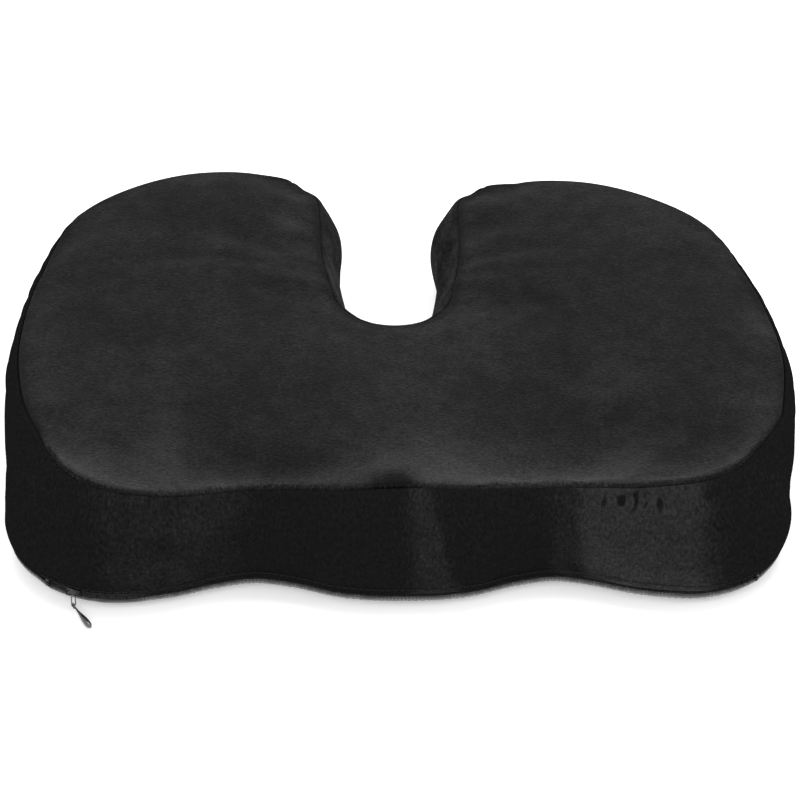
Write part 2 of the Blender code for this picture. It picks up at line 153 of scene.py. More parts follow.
@dataclass(frozen=True)
class Patch:
    """An oval patch of the top where the pile is brushed up, or down where lift is negative."""

    x: float
    y: float
    half_width: float
    half_depth: float
    lift: float

    def at(self, place: Vector) -> float:
        """The lift that the patch gives at a place."""
        across = (place.x - self.x) / self.half_width
        along = (place.y - self.y) / self.half_depth
        return self.lift * math.exp(-across * across - along * along)


@dataclass(frozen=True)
class Band:
    """A lighter band of the front wall, partly raised pile and partly painted light where the wall's curve
    faces the lamps. Each edge is (x at the foot, x at the seam, softness).
    """

    left: tuple[float, float, float]
    right: tuple[float, float, float]
    lift: float

    def at(self, x: float, rise: float) -> float:
        """The lift that the band gives at an x, by the share of the way up the wall."""
        left = self.left[0] + (self.left[1] - self.left[0]) * rise
        right = self.right[0] + (self.right[1] - self.right[0]) * rise
        inside = smooth_step((x - left) / self.left[2] + 0.5)
        return self.lift * inside * smooth_step((right - x) / self.right[2] + 0.5)


@dataclass(frozen=True)
class Ramp:
    """A share that climbs from 0 to 1 past a start; a negative reach climbs the other way."""

    start: float
    reach: float

    def at(self, value: float) -> float:
        """The share at a value."""
        return smooth_step((value - self.start) / self.reach)


@dataclass(frozen=True)
class Hump:
    """A share that is 1 at a middle and falls away on both sides."""

    middle: float
    reach: float

    def at(self, value: float) -> float:
        """The share at a value."""
        return bell((value - self.middle) / self.reach)


class Rise(Enum):
    """How a shift changes from the foot of the wall to its top."""

    EVEN = "even"
    GROWING = "growing"
    LOW = "low"
    HIGH = "high"
    FADING = "fading"
    FADING_LATE = "fading late"


@dataclass(frozen=True)
class Shift:
    """How far one region of this cushion lies from the even plan.

    move is in metres. across and along say where the region is, in x and y.
    """

    move: tuple[float, float, float]
    across: Ramp | Hump
    along: Ramp | Hump
    rise: Rise = Rise.EVEN
    both_sides: bool = False

    def at(self, place: Vector) -> float:
        """The share of the move that a place in plan takes."""
        across = self.across.at(abs(place.x) if self.both_sides else place.x)
        return across * self.along.at(place.y) if across else 0.0


LEFT_SIDE = Ramp(-0.120, -0.080)
RIGHT_SIDE = Ramp(0.120, 0.080)
RIGHT_LOBE = (Ramp(0.020, 0.060), Ramp(0.120, 0.130))
IN_FRONT = Ramp(0.010, -0.050)

# The side walls, the sides' top seams, the notch, the front left corner, the lobes, the front seam.
SHIFTS = (
    Shift((0.0034, 0.0, 0.0), LEFT_SIDE, Hump(0.070, 0.045), Rise.LOW),
    Shift((0.0056, 0.0, 0.0), LEFT_SIDE, Hump(0.142, 0.034), Rise.LOW),
    Shift((0.0020, 0.0, 0.0), RIGHT_SIDE, Hump(0.175, 0.045), Rise.LOW),
    Shift((-0.0012, 0.0, 0.0), RIGHT_SIDE, Hump(-0.020, 0.035), Rise.LOW),
    Shift((0.0036, 0.0, 0.0), LEFT_SIDE, Hump(0.002, 0.018), Rise.HIGH),
    Shift((-0.0015, 0.0, 0.0), LEFT_SIDE, Hump(0.075, 0.060), Rise.HIGH),
    Shift((0.0052, 0.0, 0.0), RIGHT_SIDE, Hump(0.045, 0.070), Rise.HIGH),
    Shift((-0.0020, 0.0, 0.0), Hump(0.0, 0.060), Ramp(0.060, 0.060)),
    Shift((-0.0032, 0.0, 0.0), Hump(-0.032, 0.016), Hump(0.160, 0.036), Rise.FADING_LATE),
    Shift((0.0012, 0.0, 0.0), Hump(0.028, 0.014), Hump(0.165, 0.040)),
    Shift((-0.0024, -0.0016, 0.0), Hump(-0.206, 0.028), Hump(-0.010, 0.042), Rise.FADING),
    Shift((0.0, 0.0022, 0.0), Ramp(-0.040, -0.060), Ramp(0.150, 0.070)),
    Shift((0.0, -0.0038, 0.0), Hump(0.062, 0.022), Ramp(0.225, 0.030), both_sides=True),
    Shift((0.0, -0.0050, 0.0), *RIGHT_LOBE),
    Shift((0.0, 0.0, -0.0022), *RIGHT_LOBE, Rise.GROWING),
    Shift((0.0, 0.0010, 0.0), Ramp(0.060, 0.080), IN_FRONT, Rise.GROWING),
    Shift((0.0, -0.0012, -0.0013), Ramp(-0.060, -0.080), IN_FRONT, Rise.GROWING),
    Shift((0.0, 0.0, 0.0022), Hump(0.128, 0.040), IN_FRONT, Rise.GROWING),
)


@dataclass(frozen=True)
class Plan:
    """The cushion's outline and the heights that all of its pieces follow."""

    front_edge: tuple[Pair, ...] = (
        (0.0, -0.063),
        (0.032, -0.060),
        (0.058, -0.051),
        (0.080, -0.047),
        (0.103, -0.0515),
        (0.124, -0.0585),
    )
    side_and_lobe: tuple[Pair, ...] = (
        (0.211, 0.080),
        (0.205, 0.150),
        (0.183, 0.221),
        (0.125, 0.262),
        (0.080, 0.266),
        (0.0545, 0.2645),
        (0.0408, 0.2470),
        (0.040, 0.215),
        (0.039, 0.180),
        (0.0345, 0.145),
        (0.0283, 0.117),
        (0.016, 0.102),
    )
    notch_middle: Pair = (0.0, 0.098)
    corner_centre: Pair = (0.151, -0.0125)
    corner_radius: float = 0.050
    corner_angles: range = range(-98, 1, 7)
    lower_seam: float = 0.0085
    seam_height: float = 0.0685
    corner_lean: float = 0.013
    corner_ramp_x: Pair = (0.108, 0.085)
    corner_ramp_y: Pair = (0.012, 0.045)
    middle_lean: float = 0.0072
    middle_half_width: float = 0.072
    mouth_lean: float = 0.0082
    mouth_place: Pair = (0.044, 0.257)
    mouth_reach: Pair = (0.020, 0.022)
    lean_from: float = 0.020
    crown: float = 0.0045
    crown_reach: float = 0.022
    groove: float = 0.010
    groove_x: float = 0.078
    groove_half_width: float = 0.042
    groove_end: float = 0.080
    span_steps: int = 24

    def knots(self) -> list[Vector]:
        """The places that the outline's curve goes through, counter-clockwise from the front."""
        right = [Vector((x, y, 0.0)) for x, y in self.front_edge]
        centre = Vector((*self.corner_centre, 0.0))
        for degrees in self.corner_angles:
            angle = math.radians(degrees)
            spoke = Vector((math.cos(angle), math.sin(angle), 0.0))
            right.append(centre + spoke * self.corner_radius)
        right += [Vector((x, y, 0.0)) for x, y in self.side_and_lobe]
        left = [Vector((-knot.x, knot.y, 0.0)) for knot in reversed(right[1:])]
        return right + [Vector((*self.notch_middle, 0.0))] + left

    def curve(self) -> list[Vector]:
        """The smooth curve through the knots, as close points."""
        knots = self.knots()
        count = len(knots)
        chords = [knots[(i + 1) % count] - knots[i] for i in range(count)]
        tangents = []
        for i, after in enumerate(chords):
            before = chords[i - 1]
            weighed = after * (before.length / after.length) + before * (after.length / before.length)
            tangents.append(weighed / (before.length + after.length))
        points: list[Vector] = []
        for i, chord in enumerate(chords):
            start, end = knots[i], knots[(i + 1) % count]
            leave = start + tangents[i] * chord.length / 3
            arrive = end - tangents[(i + 1) % count] * chord.length / 3
            points += interpolate_bezier(start, leave, arrive, end, self.span_steps + 1)[:-1]
        return [Vector((point[0], point[1], 0.0)) for point in points]

    def groove_depth(self, place: Vector) -> float:
        """How far the two thigh grooves lower the top at a place."""
        across = (abs(place.x) - self.groove_x) / self.groove_half_width
        along = (self.groove_end - place.y) / (self.groove_end - self.front_edge[0][1])
        return self.groove * bell(across) * smooth_step(along)

    def wall_lean(self, place: Vector, outward: Vector) -> float:
        """How far the top seam is drawn in at a place on the outline."""
        if place.y > self.mouth_place[1] / 2:
            across = (abs(place.x) - self.mouth_place[0]) / self.mouth_reach[0]
            along = (place.y - self.mouth_place[1]) / self.mouth_reach[1]
            return self.mouth_lean * bell(across) * bell(along)
        if outward.y > 0:
            return 0.0
        across = smooth_step((abs(place.x) - self.corner_ramp_x[0]) / self.corner_ramp_x[1])
        along = smooth_step((self.corner_ramp_y[0] - place.y) / self.corner_ramp_y[1])
        middle = self.middle_lean * bell(place.x / self.middle_half_width) if place.y < 0 else 0.0
        return self.corner_lean * across * along + middle

    def stations(self, spacing: float) -> list[Station]:
        """Even stations round the whole outline, the first in the middle of the front.

        Args:
            spacing: about how far apart they stand.

        Returns:
            The stations, counter-clockwise.
        """
        points = self.curve()
        points.append(points[0])
        lengths = [0.0]
        for before, after in zip(points, points[1:]):
            lengths.append(lengths[-1] + (after - before).length)
        whole = lengths[-1]
        count = 2 * round(whole / spacing / 2)
        even: list[Vector] = []
        at = 0
        for i in range(count):
            reach = whole * i / count
            while lengths[at + 1] < reach:
                at += 1
            share = (reach - lengths[at]) / (lengths[at + 1] - lengths[at])
            even.append(points[at].lerp(points[at + 1], share))
        made = []
        for i, place in enumerate(even):
            tangent = (even[(i + 1) % count] - even[i - 1]).normalized()
            outward = Vector((tangent.y, -tangent.x, 0.0))
            lean = self.wall_lean(place, outward)
            top = self.seam_height - self.groove_depth(place - outward * lean)
            along = whole * i / count
            made.append(Station(place, outward, lean, top, along if i <= count // 2 else along - whole))
        return made

    def flat_at(self, station: Station, offset: float, height: float) -> Vector:
        """A place at a station, by its distance out from the outline and its height."""
        rise = (height - self.lean_from) / (self.seam_height - self.lean_from)
        leaned = station.lean * smooth_step(rise)
        return station.place + station.outward * (offset - leaned) + UP * height

    def wall_at(self, station: Station, offset: float, height: float) -> Vector:
        """As flat_at, with the heights squeezed where a thigh groove lowers the top."""
        place = self.flat_at(station, offset, height)
        if height > self.lower_seam:
            squeeze = (station.top - self.lower_seam) / (self.seam_height - self.lower_seam)
            place.z = self.lower_seam + (height - self.lower_seam) * squeeze
        return place

    def top_height(self, place: Vector, distance: float) -> float:
        """The height of the cover's top at a distance in from the seam."""
        crown = self.crown * (1 - math.exp(-distance / self.crown_reach))
        return self.seam_height - self.groove_depth(place) + crown

    def settled(self, place: Vector) -> Vector:
        """Where a place lies on this cushion, which isn't quite the same on its two halves."""
        height = min(max(place.z / self.seam_height, 0.0), 1.0)
        high = smooth_step((height - 0.45) / 0.5)
        shares = {
            Rise.EVEN: 1.0,
            Rise.GROWING: height,
            Rise.LOW: 1 - high,
            Rise.HIGH: high,
            Rise.FADING: 1 - 0.6 * height,
            Rise.FADING_LATE: 1 - 0.6 * high,
        }
        x, y, z = place
        for shift in SHIFTS:
            share = shift.at(place) * shares[shift.rise]
            x += shift.move[0] * share
            y += shift.move[1] * share
            z += shift.move[2] * share
        return Vector((x, y, z))


# ---------------------------------------------------------------------------------------------
# Making meshes


def follow(verts: Sequence[bmesh.types.BMVert], fresh: set[Any], places: Sequence[Vector]) -> list[Any]:
    """Moves the extruded copy of each vert to its place.

    Args:
        verts: the verts that were extruded.
        fresh: the verts that the extrusion made.
        places: where the copies go, in the verts' order.

    Returns:
        The copies, in the same order.
    """
    copies = []
    for vert, place in zip(verts, places):
        copy = next(e.other_vert(vert) for e in vert.link_edges if e.other_vert(vert) in fresh)
        copy.co = place
        copies.append(copy)
    return copies


def skin(bm: bmesh.types.BMesh, rows: Sequence[Sequence[Vector]], ring: bool) -> list[list[Any]]:
    """Extrudes a line of places through the other lines.

    Args:
        bm: the mesh to add to.
        rows: lines of places, all of one length.
        ring: whether each line closes on itself.

    Returns:
        The verts of each line.
    """
    verts = [bm.verts.new(place) for place in rows[0]]
    count = len(verts)
    pairs = [(i, (i + 1) % count) for i in range(count if ring else count - 1)]
    edges = [bm.edges.new((verts[a], verts[b])) for a, b in pairs]
    lines = [verts]
    for row in rows[1:]:
        made = bmesh.ops.extrude_edge_only(bm, edges=edges)["geom"]
        fresh = {item for item in made if isinstance(item, bmesh.types.BMVert)}
        verts = follow(verts, fresh, row)
        edges = [bm.edges.get((verts[a], verts[b])) for a, b in pairs]
        lines.append(verts)
    return lines


def mark(bm: bmesh.types.BMesh, name: str, value: Callable[[Any], float]) -> None:
    """Stores a number on each vert, for a material to read; the verts held before are lost."""
    layer = bm.verts.layers.float.new(name)
    for vert in bm.verts:
        vert[layer] = value(vert)


def numbered(bm: bmesh.types.BMesh, lines: Sequence[Sequence[Any]]) -> list[list[int]]:
    """The indices of lines of verts, which stay true when the verts themselves are lost."""
    bm.verts.index_update()
    return [[vert.index for vert in line] for line in lines]


def tube(
    paths: Sequence[Sequence[Vector]], radius: float, sides: int, ring: bool = False
) -> bmesh.types.BMesh:
    """Round wires along paths, as one mesh.

    Args:
        paths: the paths of the wires.
        radius: the wires' radius.
        sides: the bevel resolution; 0 gives four sides.
        ring: whether each path closes on itself.

    Returns:
        The mesh.
    """
    curve = bpy.data.curves.new("wire", "CURVE")
    curve.dimensions = "3D"
    curve.bevel_depth = radius
    curve.bevel_resolution = sides
    curve.use_fill_caps = not ring
    for path in paths:
        spline = curve.splines.new("POLY")
        spline.points.add(len(path) - 1)
        for point, place in zip(spline.points, path):
            point.co = (*place, 1.0)
        spline.use_cyclic_u = ring
    holder = bpy.data.objects.new("wire", curve)
    bpy.context.scene.collection.objects.link(holder)
    graph = bpy.context.evaluated_depsgraph_get()
    bm = bmesh.new()
    bm.from_mesh(holder.evaluated_get(graph).to_mesh())
    bpy.data.objects.remove(holder)
    bpy.data.curves.remove(curve)
    bmesh.ops.remove_doubles(bm, verts=bm.verts, dist=1e-7)
    return bm


def spun(profile: Sequence[Pair], steps: int) -> bmesh.types.BMesh:
    """A profile of (distance along X, radius) turned about the X axis."""
    bm = bmesh.new()
    points = [bm.verts.new((x, 0.0, radius)) for x, radius in profile]
    edges = [bm.edges.new(pair) for pair in zip(points, points[1:])]
    bmesh.ops.spin(
        bm,
        geom=points + edges,
        cent=(0, 0, 0),
        axis=(1, 0, 0),
        angle=FULL_TURN,
        steps=steps,
        use_merge=True,
    )
    bmesh.ops.remove_doubles(bm, verts=bm.verts, dist=1e-6)
    return bm


def rounded_block(bm: bmesh.types.BMesh, low: Vector, high: Vector, radius: float) -> list[Any]:
    """Adds a block with rounded edges between two corners; returns its verts."""
    before = set(bm.verts)
    verts = bmesh.ops.create_cube(bm, size=1.0)["verts"]
    bmesh.ops.scale(bm, vec=high - low, verts=verts)
    bmesh.ops.translate(bm, vec=(low + high) / 2, verts=verts)
    edges = list({edge for vert in verts for edge in vert.link_edges})
    bmesh.ops.bevel(
        bm,
        geom=edges,
        offset=radius,
        segments=3,
        profile=0.5,
        affect="EDGES",
        material=-1,
    )
    return [vert for vert in bm.verts if vert not in before]


@dataclass
class Maker:
    """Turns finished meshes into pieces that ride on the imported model."""

    plan: Plan
    pieces: list[bpy.types.Object] = field(default_factory=list)

    def settle(self, bm: bmesh.types.BMesh) -> None:
        """Moves a mesh of the cushion to where it lies on this one."""
        for vert in bm.verts:
            vert.co = self.plan.settled(vert.co)

    def piece(
        self,
        name: str,
        bm: bmesh.types.BMesh,
        finish: bpy.types.Material,
        body: Body,
        slot: Slot,
        nodes: Sequence[str],
        sharp: float = 60.0,
    ) -> bpy.types.Object:
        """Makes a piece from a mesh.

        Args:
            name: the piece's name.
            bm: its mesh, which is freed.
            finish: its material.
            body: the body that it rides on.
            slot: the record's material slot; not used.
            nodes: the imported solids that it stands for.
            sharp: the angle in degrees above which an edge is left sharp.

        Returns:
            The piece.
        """
        bmesh.ops.recalc_face_normals(bm, faces=bm.faces)
        mesh = bpy.data.meshes.new(name)
        bm.to_mesh(mesh)
        bm.free()
        mesh.shade_smooth()
        mesh.set_sharp_from_angle(angle=math.radians(sharp))
        mesh.materials.append(finish)
        made = bpy.data.objects.new(name, mesh)
        bpy.context.scene.collection.objects.link(made)
        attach(made, body.value)
        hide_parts(*nodes)
        self.pieces.append(made)
        LOG.info("%s: %d faces on %s, for %s", name, len(mesh.polygons), body.value, ", ".join(nodes))
        return made


def thicken(piece: bpy.types.Object, thickness: float, levels: int) -> None:
    """Gives a sheet one more smooth subdivision and its cloth's thickness, inwards."""
    if levels:
        smooth = piece.modifiers.new("smooth", "SUBSURF")
        smooth.levels = levels
        smooth.render_levels = levels
    cloth = piece.modifiers.new("cloth_thickness", "SOLIDIFY")
    cloth.thickness = thickness
    cloth.offset = -1.0


@dataclass(frozen=True)
class Ease:
    """How a sewn panel, cut a little larger than its foam, settles between its seams."""

    growth: float
    pressure: float
    bending: float
    most: float
    frames: int = 20

    def relax(self, piece: bpy.types.Object, held: Sequence[int]) -> None:
        """Lets the panel swell and pucker between its held edges, and keeps the result.

        Args:
            piece: the panel, still one layer thick.
            held: the indices of the verts that the seams hold.
        """
        mesh = piece.data
        rest = [vert.co.copy() for vert in mesh.vertices]
        group = piece.vertex_groups.new(name="held")
        group.add(list(held), 1.0, "REPLACE")
        modifier = piece.modifiers.new("settle", "CLOTH")
        cloth = modifier.settings
        cloth.quality = 6
        cloth.mass = 0.2
        cloth.tension_stiffness = 15
        cloth.compression_stiffness = 15
        cloth.shear_stiffness = 5
        cloth.bending_stiffness = self.bending
        cloth.vertex_group_mass = group.name
        cloth.shrink_min = -self.growth
        cloth.use_pressure = True
        cloth.uniform_pressure_force = self.pressure
        cloth.effector_weights.gravity = 0.0
        modifier.collision_settings.use_collision = False
        modifier.point_cache.frame_start = 1
        modifier.point_cache.frame_end = self.frames
        scene = bpy.context.scene
        for step in range(1, self.frames + 1):
            scene.frame_set(step)
        graph = bpy.context.evaluated_depsgraph_get()
        moved = [vert.co.copy() for vert in piece.evaluated_get(graph).data.vertices]
        piece.modifiers.remove(modifier)
        piece.vertex_groups.remove(group)
        scene.frame_set(1)
        for vert, start, end in zip(mesh.vertices, rest, moved):
            change = end - start
            if change.length > self.most:
                change *= self.most / change.length
            vert.co = start + change
        most = max((end - start).length for start, end in zip(rest, moved))
        LOG.info("%s: settled, at most %.1f mm before its limit", piece.name, 1000 * most)


# ---------------------------------------------------------------------------------------------
# Finishes


@dataclass(frozen=True)
class Value:
    """A number that varies over a surface, with the arithmetic that adds its Math nodes."""

    graph: "Graph"
    socket: bpy.types.NodeSocket

    def __add__(self, other: "Value | float") -> "Value":
        """The sum."""
        return self.graph.maths("ADD", self, other)

    def __radd__(self, other: float) -> "Value":
        """The sum, the number first."""
        return self.graph.maths("ADD", other, self)

    def __sub__(self, other: "Value | float") -> "Value":
        """The difference."""
        return self.graph.maths("SUBTRACT", self, other)

    def __rsub__(self, other: float) -> "Value":
        """The difference, the number first."""
        return self.graph.maths("SUBTRACT", other, self)

    def __mul__(self, other: "Value | float") -> "Value":
        """The product."""
        return self.graph.maths("MULTIPLY", self, other)

    def __rmul__(self, other: float) -> "Value":
        """The product, the number first."""
        return self.graph.maths("MULTIPLY", other, self)

    def stepped(self, low: float, high: float) -> "Value":
        """0 below low, 1 above high, and an even curve between."""
        node = self.graph.node(
            "ShaderNodeMapRange",
            {"interpolation_type": "SMOOTHSTEP"},
            {"Value": self, "From Min": low, "From Max": high},
        )
        return Value(self.graph, node.outputs["Result"])


class Graph:
    """The nodes of one material."""

    def __init__(self, name: str) -> None:
        """Starts an empty material."""
        self.material = bpy.data.materials.new(name)
        self.material.use_nodes = True
        self.tree = self.material.node_tree
        self.tree.nodes.clear()

    def node(
        self,
        kind: str,
        settings: dict[str, Any] | None = None,
        inputs: dict[str | int, Any] | None = None,
    ) -> bpy.types.Node:
        """Adds a node.

        Args:
            kind: the node's type.
            settings: its properties, which are set first.
            inputs: the values or links of its sockets.

        Returns:
            The node.
        """
        made = self.tree.nodes.new(kind)
        for key, value in (settings or {}).items():
            setattr(made, key, value)
        for key, value in (inputs or {}).items():
            socket = made.inputs[key]
            if isinstance(value, Value):
                self.tree.links.new(value.socket, socket)
            elif isinstance(value, bpy.types.NodeSocket):
                self.tree.links.new(value, socket)
            else:
                socket.default_value = value
        return made

    def maths(self, operation: str, first: Value | float, second: Value | float) -> Value:
        """One Math node on two values."""
        made = self.node("ShaderNodeMath", {"operation": operation}, {0: first, 1: second})
        return Value(self, made.outputs[0])

    def place(self, scale: tuple[float, float, float] = (1.0, 1.0, 1.0)) -> bpy.types.NodeSocket:
        """The place on the piece, in metres, stretched by a scale."""
        source = self.node("ShaderNodeTexCoord").outputs["Object"]
        mapping = self.node("ShaderNodeMapping", None, {"Vector": source, "Scale": scale})
        return mapping.outputs["Vector"]

    def attribute(self, name: str) -> Value:
        """A number stored on the piece."""
        made = self.node("ShaderNodeAttribute", {"attribute_name": name})
        return Value(self, made.outputs["Fac"])

    def strip_place(self, scale: tuple[float, float, float]) -> bpy.types.NodeSocket:
        """The place along and across a strip of cloth, in metres, stretched by a scale."""
        joined = self.node(
            "ShaderNodeCombineXYZ",
            None,
            {"X": self.attribute("along"), "Y": self.attribute("across")},
        )
        made = self.node(
            "ShaderNodeMapping", None, {"Vector": joined.outputs["Vector"], "Scale": scale}
        )
        return made.outputs["Vector"]

    def noise(
        self,
        vector: bpy.types.NodeSocket,
        scale: float,
        detail: float = 2.0,
        roughness: float = 0.5,
        distortion: float = 0.0,
    ) -> Value:
        """Cloudy noise from 0 to 1."""
        made = self.node(
            "ShaderNodeTexNoise",
            None,
            {
                "Vector": vector,
                "Scale": scale,
                "Detail": detail,
                "Roughness": roughness,
                "Distortion": distortion,
            },
        )
        return Value(self, made.outputs["Fac"])

    def cells(self, vector: bpy.types.NodeSocket, scale: float) -> Value:
        """The distance to the nearest of many scattered points, in cells."""
        made = self.node("ShaderNodeTexVoronoi", None, {"Vector": vector, "Scale": scale})
        return Value(self, made.outputs["Distance"])

    def waves(self, vector: bpy.types.NodeSocket, scale: float, direction: str) -> Value:
        """Even waves from 0 to 1 along one direction of a place."""
        made = self.node(
            "ShaderNodeTexWave",
            {"bands_direction": direction},
            {"Vector": vector, "Scale": scale, "Detail": 0.0},
        )
        return Value(self, made.outputs["Fac"])

    def colour(
        self,
        share: Value,
        low: tuple[float, float, float],
        high: tuple[float, float, float],
    ) -> bpy.types.NodeSocket:
        """A colour between two, by a share."""
        made = self.node(
            "ShaderNodeMix",
            {"data_type": "RGBA"},
            {"Factor": share, "A": (*low, 1.0), "B": (*high, 1.0)},
        )
        return made.outputs["Result"]

    def bump(self, height: Value, distance: float, strength: float = 1.0) -> bpy.types.NodeSocket:
        """A Bump node; the height from 0 to 1 stands for a distance in metres."""
        made = self.node(
            "ShaderNodeBump", None, {"Height": height, "Distance": distance, "Strength": strength}
        )
        return made.outputs["Normal"]

    def shader(self, **inputs: Any) -> bpy.types.NodeSocket:
        """A Principled shader; the sockets' names have _ for a space."""
        named = {key.replace("_", " "): value for key, value in inputs.items()}
        made = self.node("ShaderNodeBsdfPrincipled", None, named)
        return made.outputs["BSDF"]

    def finish(self, shader: bpy.types.NodeSocket) -> bpy.types.Material:
        """Links the shader to the output."""
        self.node("ShaderNodeOutputMaterial", None, {"Surface": shader})
        return self.material


@dataclass(frozen=True)
class Velour:
    """Short-pile velour. The pile lies flat and dark, or stands brushed up and catches the light; the
    share of the two also carries painted light and painted shade.
    """

    name: str
    grain: Grain
    strand: tuple[float, float, float]
    flat_colour: tuple[float, float, float] = (0.0035, 0.0035, 0.0037)
    flat_light: tuple[float, float, float] = (0.0090, 0.0090, 0.0094)
    raised_colour: tuple[float, float, float] = (0.0125, 0.0125, 0.0130)
    raised_light: tuple[float, float, float] = (0.0400, 0.0400, 0.0405)
    sheen_flat: float = 0.03
    sheen_raised: float = 0.20
    gloss: float = 0.06
    cloudy: float = 0.26

    def make(self) -> bpy.types.Material:
        """The material."""
        graph = Graph(self.name)
        place = graph.place()
        if self.grain is Grain.ACROSS_THE_TOP:
            strands = graph.place(self.strand)
        else:
            strands = graph.strip_place(self.strand)
        clouds = graph.noise(place, 15.0, 3.0, 0.5, 0.6)
        blotches = graph.noise(place, 90.0, 3.0, 0.6)
        tufts = graph.noise(strands, 1.0, 3.0, 0.65, 0.4)
        fibres = graph.noise(place, 1500.0, 2.0, 0.7)
        nap_and_painted_light = graph.attribute("nap_and_painted_light")
        lift = nap_and_painted_light + (clouds - 0.5) * self.cloudy + (blotches - 0.5) * 0.30 + (tufts - 0.5) * 0.40
        if self.grain is Grain.ROUND_THE_WALL:
            # Painted shade in the creases of the small gathers at the right.
            gather_crease_shade = graph.noise(graph.strip_place((230.0, 120.0, 1.0)), 1.0, 0.0)
            lift = lift - graph.attribute("gathers") * gather_crease_shade.stepped(0.52, 0.66) * 0.75
        # The share of the brighter copy: brushed-up pile, plus painted light and painted shade stored on
        # the piece.
        raised_and_lit = lift.stepped(0.08, 0.95)
        # Pile grain in the base colour, partly painted glints.
        grain_and_glints = (tufts * 0.6 + fibres * 0.55).stepped(0.36, 0.86)
        normal = graph.bump(tufts * 0.65 + fibres * 0.35, 0.0011, 0.75)
        flat = graph.shader(
            Base_Color=graph.colour(grain_and_glints, self.flat_colour, self.flat_light),
            Roughness=0.9,
            Specular_IOR_Level=self.gloss,
            Sheen_Weight=self.sheen_flat,
            Sheen_Roughness=0.35,
            Sheen_Tint=(0.80, 0.80, 0.82, 1.0),
            Normal=normal,
        )
        brushed = graph.shader(
            Base_Color=graph.colour(grain_and_glints, self.raised_colour, self.raised_light),
            Roughness=0.85,
            Specular_IOR_Level=0.10,
            Sheen_Weight=self.sheen_raised,
            Sheen_Roughness=0.45,
            Sheen_Tint=(0.88, 0.88, 0.90, 1.0),
            Normal=normal,
        )
        mixed = graph.node("ShaderNodeMixShader", None, {0: raised_and_lit, 1: flat, 2: brushed})
        return graph.finish(mixed.outputs["Shader"])


@dataclass(frozen=True)
class BaseCloth:
    """The close knit of the non-slip base."""

    name: str = "base_knit"

    def make(self) -> bpy.types.Material:
        """The material."""
        graph = Graph(self.name)
        place = graph.place()
        ribs = graph.waves(place, 160.0, "X") * graph.waves(place, 160.0, "Y")
        clouds = graph.noise(place, 40.0, 3.0)
        lint = graph.noise(place, 1300.0, 2.0, 0.7)
        tone = (ribs * 0.35 + clouds * 0.35 + lint * 0.5).stepped(0.2, 0.9)
        return graph.finish(
            graph.shader(
                Base_Color=graph.colour(tone, (0.036, 0.036, 0.037), (0.135, 0.135, 0.137)),
                Roughness=0.9,
                Specular_IOR_Level=0.2,
                Sheen_Weight=0.5,
                Sheen_Roughness=0.5,
                Normal=graph.bump(ribs * 0.6 + lint * 0.4, 0.0004, 0.6),
            )
        )


@dataclass(frozen=True)
class Foam:
    """Moulded memory foam: a soft skin with scattered pores."""

    name: str = "moulded_foam"

    def make(self) -> bpy.types.Material:
        """The material."""
        graph = Graph(self.name)
        place = graph.place()
        pores = graph.cells(place, 420.0).stepped(0.05, 0.32)
        clouds = graph.noise(place, 22.0, 4.0)
        tone = (clouds * 0.7 + pores * 0.3).stepped(0.2, 0.9)
        return graph.finish(
            graph.shader(
                Base_Color=graph.colour(tone, (0.52, 0.49, 0.40), (0.78, 0.75, 0.66)),
                Roughness=0.75 + 0.2 * (1 - pores),
                Specular_IOR_Level=0.3,
                Normal=graph.bump(pores * 0.7 + clouds * 0.3, 0.0006, 0.5),
            )
        )


@dataclass(frozen=True)
class Woven:
    """A narrow woven tape, whose weave follows the strip."""

    name: str = "zip_tape_weave"
    pitch: float = 0.0007

    def make(self) -> bpy.types.Material:
        """The material."""
        graph = Graph(self.name)
        scale = FULL_TURN / 20 / self.pitch
        strip = graph.strip_place((1.0, 1.0, 1.0))
        weft = graph.waves(strip, scale, "X")
        warp = graph.waves(strip, scale, "Y")
        weave = weft * warp + (1 - weft) * (1 - warp)
        lint = graph.noise(graph.place(), 900.0, 2.0)
        tone = (weave * 0.6 + lint * 0.4).stepped(0.1, 0.9)
        return graph.finish(
            graph.shader(
                Base_Color=graph.colour(tone, (0.006, 0.006, 0.0065), (0.028, 0.028, 0.029)),
                Roughness=0.8,
                Specular_IOR_Level=0.3,
                Sheen_Weight=0.2,
                Normal=graph.bump(weave, 0.00025, 0.8),
            )
        )


@dataclass(frozen=True)
class Plastic:
    """The zip coil's monofilament."""

    name: str = "coil_filament"

    def make(self) -> bpy.types.Material:
        """The material."""
        graph = Graph(self.name)
        wear = graph.noise(graph.place(), 260.0, 3.0)
        return graph.finish(
            graph.shader(
                Base_Color=graph.colour(wear, (0.010, 0.010, 0.011), (0.036, 0.036, 0.038)),
                Roughness=0.32 + 0.25 * wear,
                Normal=graph.bump(graph.noise(graph.place(), 2400.0), 0.00006, 0.5),
            )
        )


@dataclass(frozen=True)
class Metal:
    """Cast and polished zip metal, rubbed bright, with dull spots and fine scratches."""

    name: str = "zip_nickel"
    bright: tuple[float, float, float] = (0.17, 0.17, 0.175)
    dulled: tuple[float, float, float] = (0.06, 0.06, 0.063)

    def make(self) -> bpy.types.Material:
        """The material."""
        graph = Graph(self.name)
        rub = graph.noise(graph.place(), 420.0, 4.0, 0.6)
        scratches = graph.noise(graph.place((600.0, 4200.0, 900.0)), 1.0, 2.0)
        dull = (rub * 0.7 + scratches * 0.3).stepped(0.3, 0.8)
        return graph.finish(
            graph.shader(
                Base_Color=graph.colour(dull, self.bright, self.dulled),
                Metallic=1.0,
                Roughness=0.22 + 0.3 * dull,
                Normal=graph.bump(scratches, 0.00005, 0.5),
            )
        )


